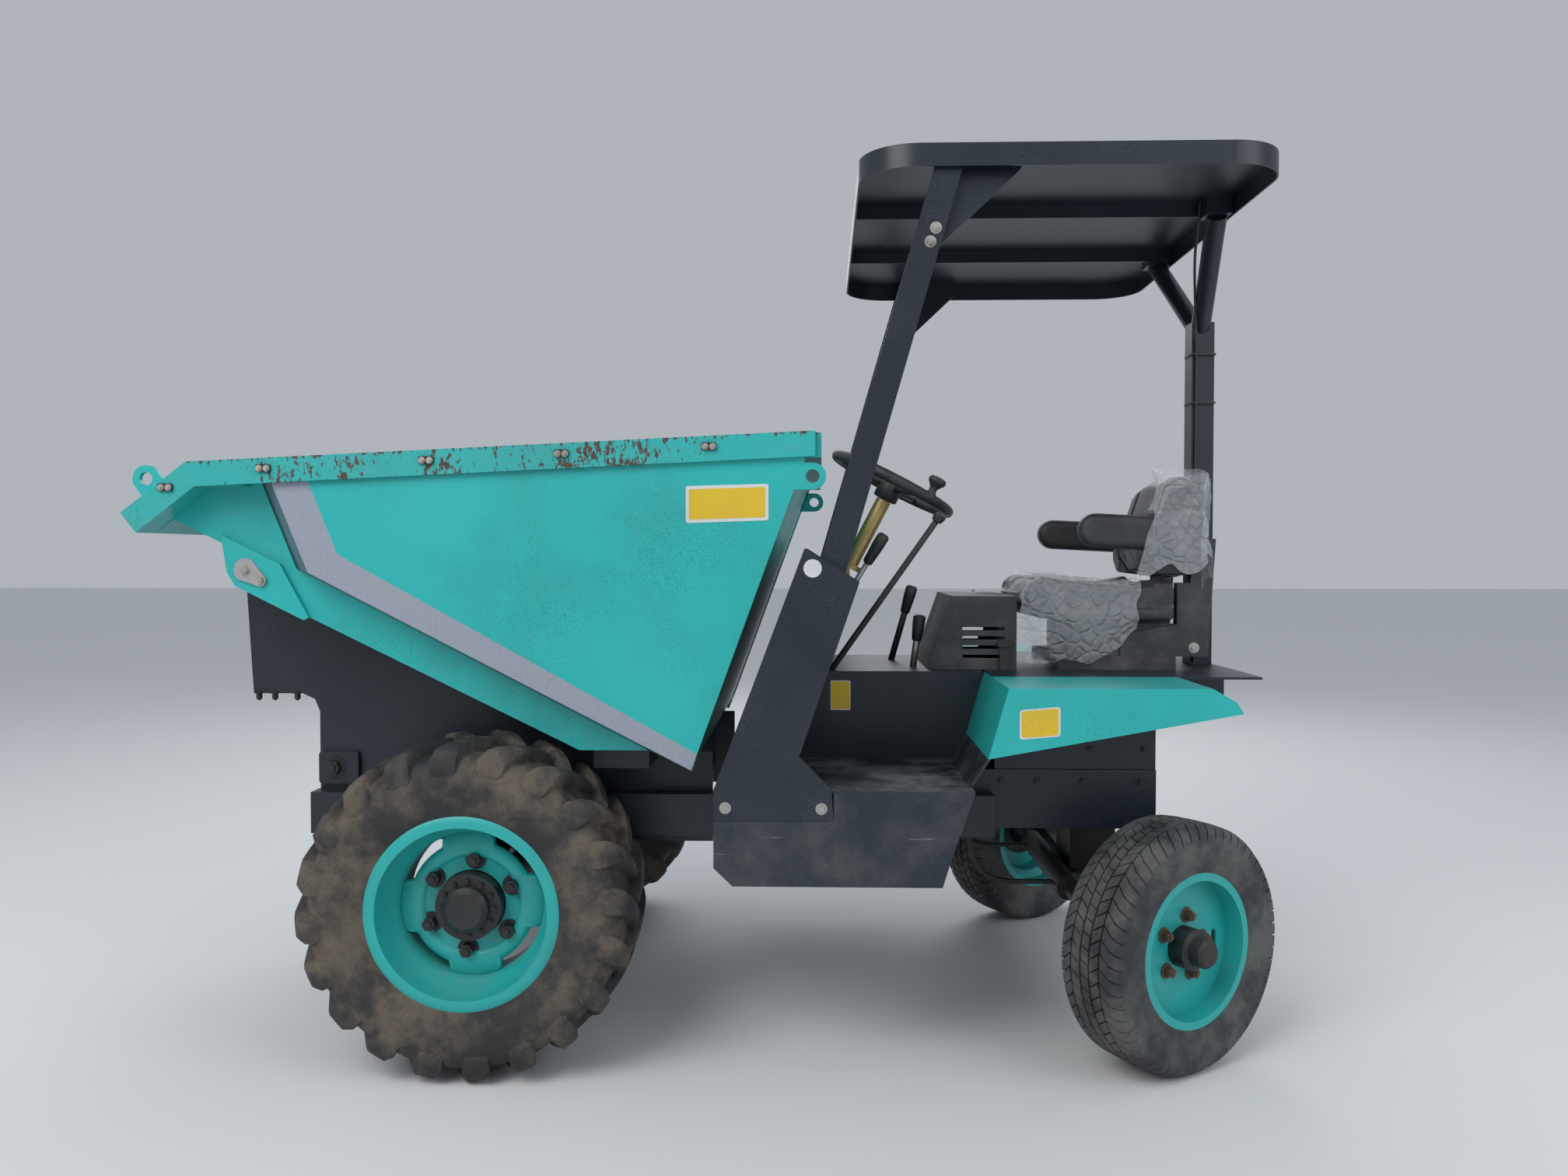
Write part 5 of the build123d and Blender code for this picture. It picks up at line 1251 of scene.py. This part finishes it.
# %% Film material
film, tree, shader, where = new_material("clear_film")
FILM_ALPHA = 0.17
cells = node(tree, "ShaderNodeTexVoronoi", {"Vector": where, "Scale": 34.0}, feature="DISTANCE_TO_EDGE")
creases = maths(tree, "MULTIPLY", ramp(tree, cells.outputs["Distance"], 0.0, 0.20), 0.6)
folds = maths(tree, "ADD", creases, noise(tree, where, 45.0, 6, 0.6))
haze = ramp(tree, noise(tree, where, 16.0, 6, 0.6), 0.30, 0.75)
tree.links.new(mix(tree, haze, (0.62, 0.68, 0.74, 1), (0.86, 0.89, 0.92, 1)), shader.inputs["Base Color"])
tree.links.new(maths(tree, "MULTIPLY_ADD", haze, 0.20, 0.10), shader.inputs["Roughness"])
shader.inputs["Alpha"].default_value = FILM_ALPHA
bump(tree, shader, folds, 0.9, 0.006)
print("film lets", 1 - FILM_ALPHA, "of the light straight through")

# %% [markdown]
# The helpers cut a patch, let it fall, and crease it.

# %% Film helpers
COLLISION_GAP = 0.003
FILM_T = 0.0006


def patch(corners, rows, columns, rag, seed):
    """A patch between four corners, its edges torn; gives the mesh."""
    a, b, c, d = (Vector(corner) for corner in corners)
    middle = (a + b + c + d) / 4
    bm = bmesh.new()
    grid = []
    for i in range(rows + 1):
        line = []
        for k in range(columns + 1):
            u, v = i / rows, k / columns
            co = (a * (1 - u) + b * u) * (1 - v) + (d * (1 - u) + c * u) * v
            rim = max(abs(u - 0.5), abs(v - 0.5)) * 2
            pull = noise_at(co * 14 + Vector((seed, 0, 0))) * rag * max(0.0, rim - 0.80) / 0.20
            line.append(bm.verts.new(co + (middle - co).normalized() * pull))
        grid.append(line)
    for i in range(rows):
        for k in range(columns):
            bm.faces.new((grid[i][k], grid[i + 1][k], grid[i + 1][k + 1], grid[i][k + 1]))
    bmesh.ops.recalc_face_normals(bm, faces=bm.faces)
    return mesh_of(bm, "patch")


def block(low, high):
    """A box mesh for the film to fall on."""
    bm = bmesh.new()
    bmesh.ops.create_cube(bm, size=1.0)
    for v in bm.verts:
        v.co = Vector(tuple(low[i] + (v.co[i] + 0.5) * (high[i] - low[i]) for i in range(3)))
    return mesh_of(bm, "block")


def fallen(mesh, supports, frames, bending, caught=None):
    """The patch after it has fallen as cloth on the supports; caught(point) says where it is held."""
    stands = []
    for support in supports:
        stand = put("stand", support)
        stand.modifiers.new("solid", "COLLISION")
        stand.collision.thickness_outer = COLLISION_GAP
        stand.collision.cloth_friction = 30
        stands.append(stand)
    holder = put("patch", mesh)
    cloth = holder.modifiers.new("fall", "CLOTH")
    if caught:
        hold = holder.vertex_groups.new(name="caught")
        hold.add([v.index for v in mesh.vertices if caught(v.co)], 1.0, "REPLACE")
        cloth.settings.vertex_group_mass = "caught"
    cloth.settings.quality = 7
    cloth.settings.mass = 0.08
    cloth.settings.tension_stiffness = 30
    cloth.settings.compression_stiffness = 30
    cloth.settings.shear_stiffness = 20
    cloth.settings.bending_stiffness = bending
    cloth.settings.air_damping = 3
    cloth.collision_settings.distance_min = COLLISION_GAP
    for frame_number in range(1, frames + 1):
        scene.frame_set(frame_number)
    result = evaluated(holder)
    holder.modifiers.clear()
    scene.frame_set(1)
    for gone in [holder] + stands:
        bpy.data.objects.remove(gone)
    return result


def area_of(mesh):
    """The sum of a mesh's faces."""
    return sum(p.area for p in mesh.polygons)


def creased(mesh, name, cut_area, crease):
    fallen_area = area_of(mesh)
    holder = put("creases", mesh)
    finer = holder.modifiers.new("finer", "SUBSURF")
    finer.levels = finer.render_levels = 1
    mesh = evaluated(holder)
    for v in mesh.vertices:
        ridge = 1.0 - 2.0 * abs(noise_at(v.co * 26)) - abs(noise_at(v.co * 60))
        v.co += v.normal * crease * (1.0 + ridge)
    holder.modifiers.clear()
    holder.data = mesh
    wall = holder.modifiers.new("wall", "SOLIDIFY")
    wall.thickness = FILM_T
    wall.offset = 1.0
    mesh = evaluated(holder)
    bpy.data.objects.remove(holder)
    made = mesh_piece(mesh, name, film, "chassis", 60)
    areas = [round(area, 4) for area in (cut_area, fallen_area, area_of(mesh))]
    print(name, "cut, fallen and creased on both faces", areas)


# %% [markdown]
# The cushion's scrap falls on the pads, the deck and the hood. The backrest's scrap is caught at the
# backrest's top edge and falls on the backrest, the post and the near armrest.

# %% Film scraps
corners = [(0.825, -0.46, 1.124), (0.645, 0.08, 1.124), (1.015, 0.34, 1.124), (1.095, -0.33, 1.124)]
deck = block((0.5, -0.66, 0.80), (1.45, 0.66, 0.876))
pads = [seat_pad.data.copy(), back_piece.data.copy(), deck, block(*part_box("hood"))]
flat_patch = patch(corners, 60, 40, 0.05, 3.0)
cut_area = area_of(flat_patch)
lying = fallen(flat_patch, pads, 40, 0.6)
creased(lying, "cushion_film", cut_area, 0.003)

corners = [(1.000, -0.47, 1.300), (1.345, -0.47, 1.320), (1.320, -0.12, 1.386), (1.080, -0.12, 1.386)]
arm_low, arm_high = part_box("armrests")
near_arm = block(arm_low, (arm_high[0], arm_low[1] + 0.085, arm_high[2]))
pads = [back_piece.data.copy(), block((1.2515, -0.030, 0.87), (1.3115, 0.030, 1.80)), near_arm]
flat_patch = patch(corners, 50, 44, 0.05, 9.0)
cut_area = area_of(flat_patch)
hung = fallen(flat_patch, pads, 34, 1.2, lambda co: co.z > 1.370 and abs(co.x - 1.19) < 0.06)
creased(hung, "backrest_film", cut_area, 0.0015)
